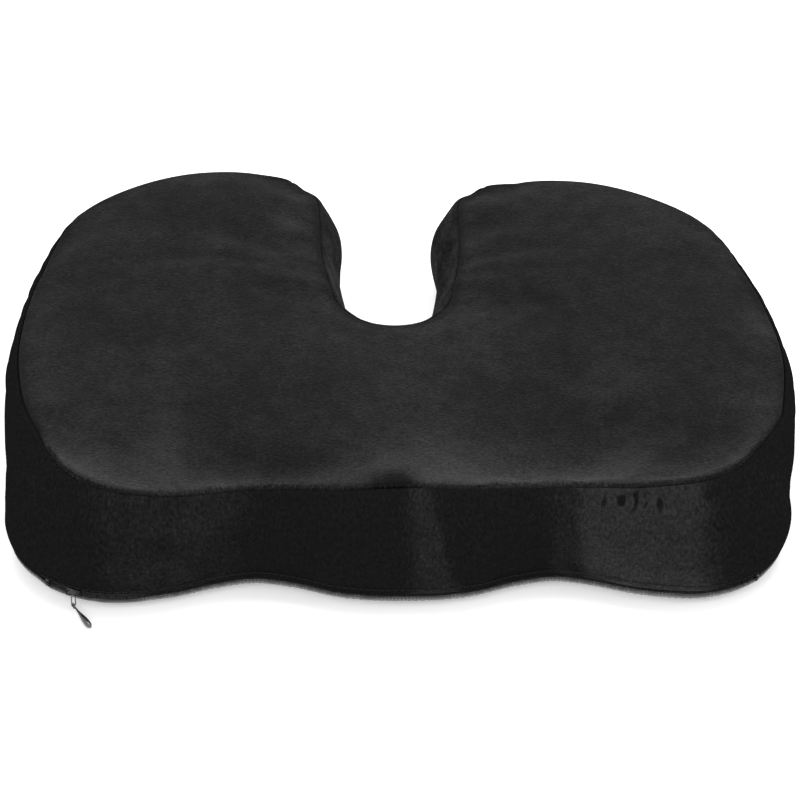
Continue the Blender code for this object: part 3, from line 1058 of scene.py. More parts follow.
@dataclass(frozen=True)
class Thread:
    """Twisted polyester sewing thread."""

    name: str = "twisted_thread"

    def make(self) -> bpy.types.Material:
        """The material."""
        graph = Graph(self.name)
        twist = graph.waves(graph.place((1.0, 0.7, 1.4)), 420.0, "DIAGONAL")
        lint = graph.noise(graph.place(), 1800.0, 2.0)
        tone = (twist * 0.6 + lint * 0.4).stepped(0.1, 0.9)
        return graph.finish(
            graph.shader(
                Base_Color=graph.colour(tone, (0.0045, 0.0045, 0.005), (0.0140, 0.0140, 0.0145)),
                Roughness=0.75,
                Specular_IOR_Level=0.15,
                Normal=graph.bump(twist, 0.0001, 0.7),
            )
        )


@dataclass(frozen=True)
class Rubber:
    """The base's printed grip dots."""

    name: str = "grip_rubber"

    def make(self) -> bpy.types.Material:
        """The material."""
        graph = Graph(self.name)
        dust = graph.noise(graph.place(), 500.0, 3.0)
        return graph.finish(
            graph.shader(
                Base_Color=graph.colour(dust, (0.010, 0.010, 0.010), (0.045, 0.045, 0.044)),
                Roughness=0.45 + 0.25 * dust,
                Normal=graph.bump(dust, 0.0001, 0.5),
            )
        )


@dataclass(frozen=True)
class Paper:
    """The plain pale floor."""

    name: str = "studio_paper"
    glow: float = 0.30

    def make(self) -> bpy.types.Material:
        """The material."""
        graph = Graph(self.name)
        fleck = graph.noise(graph.place(), 3.0, 2.0)
        return graph.finish(
            graph.shader(
                Base_Color=graph.colour(fleck, (0.90, 0.90, 0.90), (0.93, 0.93, 0.93)),
                Roughness=0.95,
                Specular_IOR_Level=0.1,
                Emission_Color=(1.0, 1.0, 1.0, 1.0),
                Emission_Strength=self.glow,
            )
        )


# ---------------------------------------------------------------------------------------------
# The cushion


@dataclass
class Cover:
    """The sewn cover: the velour top, the two strips of the side wall and the base cloth."""

    maker: Maker
    spacing: float = 0.0042
    grid: float = 0.0058
    velour_thickness: float = 0.0014
    base_thickness: float = 0.0010
    wall_knots: tuple[Pair, ...] = (
        (0.0112, 0.018),
        (0.0120, 0.028),
        (0.0108, 0.042),
        (0.0062, 0.056),
        (0.0027, 0.0640),
    )
    wall_roll: tuple[Pair, ...] = (
        (0.0012, 0.0667),
        (0.0001, 0.0677),
        (-0.0009, 0.0674),
        (-0.0013, 0.0662),
    )
    top_roll: tuple[Pair, ...] = (
        (0.0015, -0.0022),
        (0.0019, -0.0004),
        (0.0030, 0.0004),
        (0.0048, 0.0004),
    )
    border: float = 0.0075
    lip_offset: float = 0.0093
    lip_open: float = 0.0027
    lip_rest: float = 0.0016
    slider_run: Pair = (-0.205, -0.150)
    zip_half_length: float = 0.192
    lip_closed: float = 0.0003
    lip_inner: float = 0.0086
    base_rest: float = 0.0006
    base_curl: float = 0.0079
    rim: tuple[Pair, ...] = (
        (0.0088, 0.0),
        (0.0079, -0.0029),
        (0.0049, -0.0057),
        (0.0, -0.0075),
        (-0.008, -0.0079),
    )
    join_x: float = 0.060
    join_y: float = 0.220
    dot_pitch: float = 0.014
    dot_radius: float = 0.0019
    dot_rise: float = 0.0006
    dot_margin: float = 0.013
    crease_centre: Pair = (0.222, 0.092)
    gathers_x: float = 0.124
    wall_foot: float = 0.010
    wall_span: float = 0.056
    strip_width: float = 0.074
    top_ease: Ease = Ease(growth=0.010, pressure=0.20, bending=0.6, most=0.0014)
    wall_ease: Ease = Ease(growth=0.008, pressure=0.25, bending=0.4, most=0.0009)
    patches: tuple[Patch, ...] = (
        Patch(-0.154, -0.036, 0.030, 0.014, 0.20),
        Patch(-0.126, -0.008, 0.013, 0.042, 0.16),
        Patch(-0.166, 0.004, 0.030, 0.030, 0.10),
        Patch(-0.192, 0.040, 0.009, 0.026, 0.10),
        Patch(0.004, 0.030, 0.090, 0.050, 0.07),
        Patch(-0.085, -0.046, 0.036, 0.010, 0.12),
        Patch(0.004, -0.034, 0.050, 0.024, 0.26),
        Patch(0.032, -0.050, 0.030, 0.010, 0.22),
        Patch(0.085, -0.044, 0.045, 0.011, 0.22),
        Patch(0.100, -0.030, 0.050, 0.020, 0.10),
        Patch(0.107, 0.029, 0.024, 0.016, 0.07),
        Patch(0.186, 0.016, 0.016, 0.022, 0.14),
        Patch(0.201, 0.090, 0.012, 0.018, 0.12),
        Patch(-0.057, 0.208, 0.014, 0.022, 0.16),
        Patch(-0.105, 0.150, 0.010, 0.060, 0.07),
        Patch(0.040, 0.185, 0.007, 0.018, 0.10),
        Patch(-0.060, 0.150, 0.026, 0.006, 0.06),
        Patch(-0.006, -0.0535, 0.011, 0.0075, -0.80),
        Patch(-0.056, -0.030, 0.022, 0.014, -0.18),
        Patch(0.150, -0.034, 0.020, 0.012, -0.06),
    )
    wall_bands: tuple[Band, ...] = (
        Band((-0.158, -0.166, 0.024), (-0.082, -0.084, 0.034), 0.20),
        Band((0.0020, 0.0010, 0.014), (0.0260, 0.0135, 0.005), 0.27),
        Band((0.0760, 0.0740, 0.012), (0.163, 0.163, 0.030), 0.19),
        Band((0.0985, 0.0900, 0.008), (0.158, 0.155, 0.022), 0.25),
    )

    def seam_tree(self, stations: Sequence[Station]) -> KDTree:
        """The top seam's places, for the distance to it."""
        return tree_of([s.place - s.outward * s.lean for s in stations])

    def flat_fill(
        self,
        bm: bmesh.types.BMesh,
        ring: Sequence[Any],
        margin: float,
        height: Callable[[Vector], float],
    ) -> None:
        """Fills a ring of verts with an even mesh of small triangles.

        Args:
            bm: the mesh to add to.
            ring: the verts of the border, in order.
            margin: how far inside the border the first points lie.
            height: the height at a place in plan.
        """
        border = [Vector((vert.co.x, vert.co.y, 0.0)) for vert in ring]
        count = len(border)
        tree = tree_of(border)
        low = Vector(map(min, *(place.to_tuple() for place in border)))
        high = Vector(map(max, *(place.to_tuple() for place in border)))
        inner = []
        step = self.grid * math.sqrt(3) / 2
        for row in range(int((high.y - low.y) / step) + 1):
            for column in range(int((high.x - low.x) / self.grid) + 1):
                x = low.x + (column + (row % 2) / 2) * self.grid
                place = Vector((x, low.y + row * step, 0.0))
                if tree.find(place)[2] > margin:
                    inner.append(place)
        flat = [place.to_2d() for place in border + inner]
        edges = [(i, (i + 1) % count) for i in range(count)]
        _, _, faces, sources, _, _ = delaunay_2d_cdt(flat, edges, [], 1, 1e-7)
        verts = dict(enumerate(ring))
        for face in faces:
            for i in face:
                source = sources[i][0]
                if source not in verts:
                    place = inner[source - count]
                    verts[source] = bm.verts.new(place + UP * height(place))
            bm.faces.new([verts[sources[i][0]] for i in face])

    def surface_wander(self, place: Vector) -> float:
        """The slow unevenness of the top, in metres."""
        slow = noise.noise(place * 14.0) * 0.0011
        quick = noise.noise(place * 38.0 + Vector((3.1, 7.7, 0.0))) * 0.0004
        return slow + quick

    def creases(self, place: Vector) -> float:
        """The fine creases that run in from the right edge and across the left lobe."""
        from_edge = Vector((place.x - self.crease_centre[0], place.y - self.crease_centre[1], 0.0))
        angle = math.atan2(from_edge.y, from_edge.x)
        fan = math.sin(angle * 17.0 + 2.0 * noise.noise(place * 30.0))
        reach = bell((from_edge.length - 0.022) / 0.013)
        rows = math.sin((place.y - 0.25 * place.x) * 700.0 + 3.0 * noise.noise(place * 22.0))
        lobe = bell((place.x + 0.070) / 0.030) * bell((place.y - 0.152) / 0.014)
        return 0.00040 * fan * reach + 0.00012 * rows * lobe

    def top_nap_and_light(self, place: Vector, distance: float) -> float:
        """How far the top's pile is brushed up at a place, with painted light and painted shade added near
        the seam.
        """
        front = smooth_step((0.015 - place.y) / 0.055)
        # Brighter towards the front edge, partly raised pile and partly a painted sheen where the edge
        # rolls over; a little brighter near the seam along the sides.
        edge = 0.26 * bell(distance / 0.017) * front
        along_side = 0.06 * bell(distance / 0.012) * (1 - front)
        # Painted shade in the seam along the sides.
        rim = 0.32 * bell(distance / 0.0040) * (1 - front)
        return 0.25 + edge + along_side - rim + sum(patch.at(place) for patch in self.patches)

    def make_top(self, finish: bpy.types.Material) -> bpy.types.Object:
        """The crowned velour top, which dips into the seam all round."""
        plan = self.maker.plan
        stations = plan.stations(self.spacing)
        tree = self.seam_tree(plan.stations(0.0015))
        bm = bmesh.new()
        rows = []
        for inward, lift in (*self.top_roll, (self.border, 0.0)):
            row = []
            for station in stations:
                place = station.place - station.outward * (station.lean + inward)
                row.append(place + UP * (plan.top_height(place, inward) + lift))
            rows.append(row)
        lines = skin(bm, rows, ring=True)
        self.flat_fill(
            bm,
            lines[-1],
            self.grid * 0.7,
            lambda place: plan.top_height(place, tree.find(place)[2]),
        )
        held = [index for line in numbered(bm, lines[:2]) for index in line]
        mark(bm, "nap_and_painted_light", lambda v: self.top_nap_and_light(v.co, tree.find(Vector((v.co.x, v.co.y, 0.0)))[2]))
        for vert in bm.verts:
            flat = Vector((vert.co.x, vert.co.y, 0.0))
            free = smooth_step((tree.find(flat)[2] - 0.002) / 0.020)
            vert.co.z += free * (self.surface_wander(flat) + self.creases(flat))
        self.maker.settle(bm)
        top = self.maker.piece("top_cover", bm, finish, Body.CUSHION, Slot.VELOUR, ["top_panel"])
        self.top_ease.relax(top, held)
        thicken(top, self.velour_thickness, 1)
        return top

    def in_zip(self, station: Station) -> float:
        """1 along the zip, falling to 0 just past its ends."""
        return smooth_step((self.zip_half_length + 0.004 - abs(station.along)) / 0.006)

    def lip(self, station: Station) -> Pair:
        """The wall's lower edge and the base's upper edge at a station, as heights.

        They part round the zip, and more where the slider runs.
        """
        seam = self.maker.plan.lower_seam
        start, end = self.slider_run
        in_run = smooth_step((station.along - start + 0.012) / 0.010)
        in_run *= smooth_step((end + 0.012 - station.along) / 0.010)
        opened = self.lip_rest + in_run * (self.lip_open - self.lip_rest)
        part = self.lip_closed + self.in_zip(station) * (opened - self.lip_closed)
        return seam + part, seam - part

    def wall_section(self, station: Station) -> list[Pair]:
        """The wall's outer face at a station, from its lower edge to the seam."""
        low = self.lip(station)[0]
        lip = self.lip_inner + self.in_zip(station) * (self.lip_offset - self.lip_inner)
        knots = [(lip, low), (lip + 0.0006, low + 0.0022), *self.wall_knots]
        return [*smooth_line(knots, 3), *self.wall_roll]

    def puckers(self, station: Station, height: float) -> float:
        """How far the wall is drawn in under the top seam, in small gathers."""
        near = bell((height - 0.0655) / 0.0075) * smooth_step((0.0675 - height) / 0.004)
        wave = noise.noise(Vector((station.along * 105.0, 0.3, 0.0)))
        sharp = abs(noise.noise(Vector((station.along * 62.0, 4.4, height * 25.0))))
        x = station.place.x
        tight = bell((x - 0.126) / 0.028) if station.outward.y < -0.3 else 0.0
        return near * (0.0004 * wave + 0.0020 * tight * (0.45 - sharp))

    def sway(self, station: Station, height: float) -> float:
        """The slow waves of the wall's cloth round the foam."""
        share = min(max((height - self.wall_foot) / self.wall_span, 0.0), 1.0)
        rise = math.sin(math.pi * share)
        return rise * 0.0010 * noise.noise(Vector((station.along * 26.0, height * 14.0, 1.7)))

    def wall_nap_and_light(self, station: Station, height: float) -> float:
        """How far the wall's pile is brushed up, with painted light and painted shade mixed in."""
        if station.outward.y > -0.25:
            in_notch = smooth_step((0.085 - abs(station.place.x)) / 0.020) * (station.place.y > 0.090)
            return 0.30 * in_notch + 0.05 * noise.noise(Vector((station.along * 20.0, height * 30.0, 0.0)))
        ragged = 0.003 * noise.noise(Vector((height * 90.0, station.along * 8.0, 0.0)))
        x = station.place.x + ragged
        rise = (height - self.wall_foot) / self.wall_span
        # The lighter bands: partly raised pile, partly painted light where the wall's curve faces the
        # lamps.
        lift = sum(band.at(x, rise) for band in self.wall_bands)
        near_seam = 0.06 * bell((height - 0.0600) / 0.009)
        # The low base darkens the wall against the top: partly pile brushed down, partly painted shade.
        return 0.05 + lift + near_seam

    def gathers(self, station: Station, height: float) -> float:
        """Where the small gathers under the seam at the right get painted shade in their creases."""
        if station.outward.y > -0.3:
            return 0.0
        return bell((height - 0.0620) / 0.0042) * bell((station.place.x - self.gathers_x) / 0.026)

    def make_band(
        self, name: str, run: Sequence[Station], finish: bpy.types.Material, node: str
    ) -> bpy.types.Object:
        """One strip of the side wall, which dips in where it joins the other.

        Args:
            name: the piece's name.
            run: its stations, from end to end.
            finish: its material.
            node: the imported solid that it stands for.

        Returns:
            The strip.
        """
        plan = self.maker.plan
        bm = bmesh.new()
        rows = []
        facts: list[tuple[Station, float]] = []
        first, last = run[0].along, run[-1].along
        for station in run:
            section = self.wall_section(station)
            from_end = min(abs(station.along - first), abs(station.along - last))
            dip = 0.0016 * math.exp(-from_end / 0.0022)
            row = []
            for offset, height in section:
                soft = smooth_step((height - plan.lower_seam - 0.004) / 0.010)
                moved = self.sway(station, height) + self.puckers(station, height)
                row.append(plan.wall_at(station, offset + soft * moved - dip, height))
                facts.append((station, height))
            rows.append(row)
        lines = numbered(bm, skin(bm, rows, ring=False))
        order = {index: i for i, index in enumerate(index for line in lines for index in line)}
        mark(bm, "nap_and_painted_light", lambda v: self.wall_nap_and_light(*facts[order[v.index]]))
        mark(bm, "gathers", lambda v: self.gathers(*facts[order[v.index]]))
        mark(bm, "along", lambda v: facts[order[v.index]][0].along)
        mark(bm, "across", lambda v: facts[order[v.index]][1])
        self.maker.settle(bm)
        held = {index for line in lines for index in (*line[:2], *line[-3:])}
        held |= {*lines[0], *lines[-1]}
        band = self.maker.piece(name, bm, finish, Body.CUSHION, Slot.VELOUR, [node])
        self.wall_ease.relax(band, sorted(held))
        thicken(band, self.velour_thickness, 1)
        length = abs(last - first)
        if first > last:
            length = self.round_length(run)
        return band

    def round_length(self, run: Sequence[Station]) -> float:
        """The length of a run of stations."""
        return sum((after.place - before.place).length for before, after in zip(run, run[1:]))

    def make_walls(self, finish: bpy.types.Material) -> None:
        """The two strips of the side wall."""
        stations = self.maker.plan.stations(self.spacing)
        in_mouth = [
            station.place.y > self.join_y and 0 < station.place.x < self.join_x
            for station in stations
        ]
        right = in_mouth.index(True)
        left = len(stations) - right
        outer = [stations[i] for i in range(left - len(stations), right + 1)]
        notch = stations[right : left + 1]
        self.make_band("side_cover", outer, finish, "outer_band")
        self.make_band("notch_cover", notch, finish, "notch_band")

    def make_base(self, finish: bpy.types.Material) -> bpy.types.Object:
        """The base cloth, curled up all round to the lower seam."""
        plan = self.maker.plan
        stations = plan.stations(self.spacing)
        rows: list[list[Vector]] = []
        for offset, down in smooth_line(self.rim, 2):
            row = []
            for station in stations:
                upper = self.lip(station)[1]
                share = (upper - self.base_rest) / self.base_curl
                flutter = 0.0003 * noise.noise(Vector((station.along * 90.0, 2.0, 0.0)))
                row.append(plan.flat_at(station, offset + flutter, upper + down * share))
            rows.append(row)
        bm = bmesh.new()
        lines = skin(bm, rows, ring=True)
        self.flat_fill(bm, lines[-1], self.grid * 0.7, lambda place: self.base_rest)
        self.maker.settle(bm)
        base = self.maker.piece("base_cover", bm, finish, Body.CUSHION, Slot.BASE_CLOTH, ["bottom_panel"])
        thicken(base, self.base_thickness, 0)
        return base

    def make_dots(self, finish: bpy.types.Material) -> None:
        """The grip dots under the base, in rows."""
        plan = self.maker.plan
        stations = plan.stations(0.003)
        tree = tree_of([station.place for station in stations])
        bm = bmesh.new()
        for row in range(-6, 22):
            for column in range(-17, 18):
                x = (column + (row % 2) / 2) * self.dot_pitch
                place = Vector((x, row * self.dot_pitch * 0.87, 0.0))
                _, nearest, distance = tree.find(place)
                inside = (place - stations[nearest].place).dot(stations[nearest].outward) < 0
                if not inside or distance < self.dot_margin:
                    continue
                centre = plan.settled(place) + UP * (self.dot_rise / 2)
                bmesh.ops.create_cone(
                    bm,
                    cap_ends=True,
                    segments=8,
                    radius1=self.dot_radius * 0.8,
                    radius2=self.dot_radius,
                    depth=self.dot_rise,
                    matrix=Matrix.Translation(centre),
                )
        self.maker.piece("grip_dots", bm, finish, Body.CUSHION, Slot.BASE_CLOTH, ["bottom_panel"], 30.0)

    def make_fringe(self, finish: bpy.types.Material) -> None:
        """The ends of the pile that stand out over the top seam along the front."""
        plan = self.maker.plan
        stations = [s for s in plan.stations(0.0009) if s.place.y < 0.020 and s.outward.y < -0.15]
        dice = random.Random(7)
        bm = bmesh.new()
        for station in stations:
            for _ in range(2):
                inward = dice.uniform(0.0016, 0.0040)
                root = station.place - station.outward * (station.lean + inward)
                root += Vector((dice.uniform(-0.0006, 0.0006), 0.0, 0.0))
                root.z = plan.top_height(root, inward) + 0.0001
                length = dice.uniform(0.0014, 0.0032)
                droop = dice.uniform(-0.55, 0.35) - 0.5 * (0.004 - inward) / 0.004
                sideways = Vector((-station.outward.y, station.outward.x, 0.0)) * dice.uniform(-0.5, 0.5)
                heading = (station.outward + UP * droop + sideways).normalized()
                turn = heading.to_track_quat("Z", "Y").to_matrix().to_4x4()
                place = Matrix.Translation(plan.settled(root) + heading * length / 2) @ turn
                bmesh.ops.create_cone(
                    bm,
                    cap_ends=True,
                    segments=3,
                    radius1=0.00026,
                    radius2=0.00005,
                    depth=length,
                    matrix=place,
                )
        mark(bm, "nap_and_painted_light", lambda v: 0.30 + 0.25 * noise.noise(v.co * 40.0))
        self.maker.piece("pile_fringe", bm, finish, Body.CUSHION, Slot.VELOUR, ["top_panel"], 180.0)


@dataclass
class FoamBlock:
    """The moulded block inside the cover."""

    maker: Maker
    spacing: float = 0.008
    depth: float = 0.0034
    section: tuple[Pair, ...] = (
        (-0.010, 0.0026),
        (0.0, 0.0034),
        (0.0026, 0.0058),
        (0.0034, 0.0085),
        (0.0036, 0.0115),
        (0.0073, 0.0180),
        (0.0084, 0.0280),
        (0.0072, 0.0420),
        (0.0028, 0.0550),
        (-0.0012, 0.0625),
        (-0.0050, 0.0652),
    )
    border: float = 0.011

    def make(self, cover: Cover, finish: bpy.types.Material) -> None:
        """Builds the block with its rounded shoulder and crowned top."""
        plan = self.maker.plan
        stations = plan.stations(self.spacing)
        tree = cover.seam_tree(plan.stations(0.002))
        bm = bmesh.new()
        rows = []
        for offset, height in self.section:
            rows.append([plan.wall_at(station, offset, height) for station in stations])
        ring = []
        for station in stations:
            place = station.place - station.outward * (station.lean + self.border)
            ring.append(place + UP * (plan.top_height(place, self.border) - self.depth))
        rows.append(ring)
        lines = skin(bm, rows, ring=True)

        def top(place: Vector) -> float:
            """The height of the block's top."""
            wander = cover.surface_wander(place)
            return plan.top_height(place, tree.find(place)[2]) - self.depth + wander

        cover.flat_fill(bm, lines[-1], cover.grid * 0.7, top)
        cover.flat_fill(bm, lines[0], cover.grid * 0.7, lambda place: self.section[0][1])
        self.maker.settle(bm)
        block = self.maker.piece("foam_block", bm, finish, Body.CUSHION, Slot.FOAM, ["foam_core"])


@dataclass
class Zip:
    """The zip in the lower seam: tapes, coil, end stops, and the stitching and seam threads."""

    maker: Maker
    half_length: float = 0.192
    spacing: float = 0.003
    coil_offset: float = 0.0071
    coil_height: float = 0.0014
    coil_half_width: float = 0.00062
    coil_half_height: float = 0.00085
    coil_pitch: float = 0.0015
    filament: float = 0.00027
    tape_upper: tuple[Pair, ...] = (
        (0.0059, 0.00905),
        (0.0059, 0.0113),
        (0.0078, 0.0163),
        (0.0073, 0.0165),
        (0.0054, 0.0115),
        (0.0054, 0.00905),
    )
    tape_lower: tuple[Pair, ...] = (
        (0.0059, 0.00795),
        (0.0054, 0.00795),
        (0.0050, 0.0061),
        (0.0044, 0.0051),
        (0.0036, 0.0045),
        (0.0039, 0.0041),
        (0.0049, 0.0047),
        (0.0056, 0.0059),
    )
    stop_size: tuple[float, float, float] = (0.0022, 0.0009, 0.0022)
    stop_offset: float = 0.0087
    stitch: float = 0.0026
    stitch_gap: float = 0.0009
    stitch_upper: Pair = (0.0111, 0.0142)
    stitch_lower: Pair = (0.0060, 0.0032)
    stitch_arch: tuple[Pair, ...] = (
        (0.0, -0.0007),
        (0.15, 0.0),
        (0.5, 0.0002),
        (0.85, 0.0),
        (1.0, -0.0007),
    )
    thread: float = 0.00026

    def at(self, stations: Sequence[Station], along: float) -> Station:
        """The station at a distance along a run, between its own stations."""
        start = stations[0].along
        step = (stations[-1].along - start) / (len(stations) - 1)
        i = min(max(int((along - start) / step), 0), len(stations) - 2)
        share = (along - start) / step - i
        a, b = stations[i], stations[i + 1]
        return Station(
            a.place.lerp(b.place, share),
            a.outward.lerp(b.outward, share).normalized(),
            a.lean + (b.lean - a.lean) * share,
            a.top + (b.top - a.top) * share,
            along,
        )

    def run(self) -> list[Station]:
        """The stations along the zip and a little beyond, from left to right."""
        stations = self.maker.plan.stations(self.spacing)
        reach = self.half_length + 0.012
        left = [station for station in stations if -reach < station.along < 0]
        right = [station for station in stations if 0 <= station.along < reach]
        return left + right

    def make_tapes(self, run: Sequence[Station], finish: bpy.types.Material) -> None:
        """The two woven tapes behind the coil."""
        plan = self.maker.plan
        inside = [station for station in run if abs(station.along) <= self.half_length]
        for name, section in (("upper", self.tape_upper), ("lower", self.tape_lower)):
            bm = bmesh.new()
            rows = [[plan.flat_at(s, offset, height) for offset, height in section] for s in inside]
            lines = skin(bm, rows, ring=True)
            for end in (lines[0], lines[-1]):
                bm.faces.new(end)
            along = {}
            for station, line in zip(inside, numbered(bm, lines)):
                along.update((index, station.along) for index in line)
            mark(bm, "along", lambda v: along[v.index])
            mark(bm, "across", lambda v: v.co.z)
            self.maker.settle(bm)
            node = f"zip_tape_{name}"
            self.maker.piece(f"tape_{name}", bm, finish, Body.CUSHION, Slot.TAPE, [node], 50.0)

    def make_coils(self, run: Sequence[Station], finish: bpy.types.Material) -> None:
        """The two rows of coil, whose loops come together turn by turn."""
        plan = self.maker.plan
        turns = int(2 * self.half_length / self.coil_pitch)
        for side, name in ((1, "upper"), (-1, "lower")):
            path = []
            for i in range(turns * 8 + 1):
                along = -self.half_length + i * self.coil_pitch / 8
                phase = FULL_TURN * i / 8 + (0 if side > 0 else math.pi)
                offset = self.coil_offset + self.coil_half_width * math.cos(phase)
                height = self.coil_height + self.coil_half_height * math.sin(phase)
                station = self.at(run, along)
                path.append(plan.settled(plan.flat_at(station, offset, plan.lower_seam + side * height)))
            bm = tube([path], self.filament, 0)
            self.maker.piece(f"coil_{name}", bm, finish, Body.CUSHION, Slot.COIL, [f"zip_coil_{name}"])

    def make_stops(self, run: Sequence[Station], finish: bpy.types.Material) -> None:
        """The crimped stop on each end of each row."""
        plan = self.maker.plan
        for end, inward, name in ((-1, 1, "left"), (1, -1, "right")):
            station = self.at(run, end * self.half_length)
            along = Vector((-station.outward.y, station.outward.x, 0.0))
            turn = Matrix.Rotation(math.atan2(along.y, along.x), 4, "Z")
            for side, row in ((-1, "lower"), (1, "upper")):
                half = Vector(self.stop_size) / 2
                bm = bmesh.new()
                rounded_block(bm, -half, half, 0.0003)
                height = plan.lower_seam + side * 0.0015
                centre = plan.flat_at(station, self.stop_offset, height)
                centre += along * inward * self.stop_size[0]
                bmesh.ops.transform(bm, matrix=Matrix.Translation(centre) @ turn, verts=bm.verts)
                self.maker.settle(bm)
                node = f"zip_stop_{name}_{row}"
                self.maker.piece(f"stop_{name}_{row}", bm, finish, Body.CUSHION, Slot.METAL, [node], 40.0)

    def make_stitches(self, run: Sequence[Station], finish: bpy.types.Material) -> None:
        """The two lines of stitches that hold the tapes, each stitch pulled into the cloth."""
        plan = self.maker.plan
        for name, (offset, height) in (("upper", self.stitch_upper), ("lower", self.stitch_lower)):
            paths = []
            pitch = self.stitch + self.stitch_gap
            for i in range(int(2 * self.half_length / pitch)):
                start = -self.half_length + i * pitch
                path = []
                for share, sink in self.stitch_arch:
                    station = self.at(run, start + share * self.stitch)
                    path.append(plan.settled(plan.flat_at(station, offset + sink, height)))
                paths.append(path)
            bm = tube(paths, self.thread, 1)
            node = f"zip_stitch_{name}"
            self.maker.piece(f"stitches_{name}", bm, finish, Body.CUSHION, Slot.THREAD, [node])

    def make_threads(self, finish: bpy.types.Material) -> None:
        """The threads in the bottoms of the seams."""
        plan = self.maker.plan
        stations = plan.stations(self.spacing)
        top = [plan.settled(plan.wall_at(s, -0.0014, plan.seam_height - 0.0022)) for s in stations]
        bm = tube([top], self.thread, 1, ring=True)
        self.maker.piece("seam_thread_top", bm, finish, Body.CUSHION, Slot.THREAD, ["top_seam_thread"])
        round_back = [s for s in stations if abs(s.along) > self.half_length + 0.004]
        lower = [plan.settled(plan.flat_at(s, 0.0074, plan.lower_seam)) for s in round_back]
        bm = tube([lower], self.thread, 1)
        self.maker.piece("seam_thread_base", bm, finish, Body.CUSHION, Slot.THREAD, ["base_seam_thread"])

    def make_joins(self, cover: Cover, finish: bpy.types.Material) -> None:
        """The thread down each join of the side wall's strips."""
        plan = self.maker.plan
        stations = plan.stations(cover.spacing)
        right = next(
            i
            for i, s in enumerate(stations)
            if s.place.y > cover.join_y and 0 < s.place.x < cover.join_x
        )
        for name, station in (("right", stations[right]), ("left", stations[-right])):
            section = cover.wall_section(station)[1:-3]
            path = [plan.settled(plan.wall_at(station, offset - 0.0022, h)) for offset, h in section]
            bm = tube([path], self.thread, 1)
            node = f"band_join_thread_{name}"
            self.maker.piece(f"join_thread_{name}", bm, finish, Body.CUSHION, Slot.THREAD, [node])


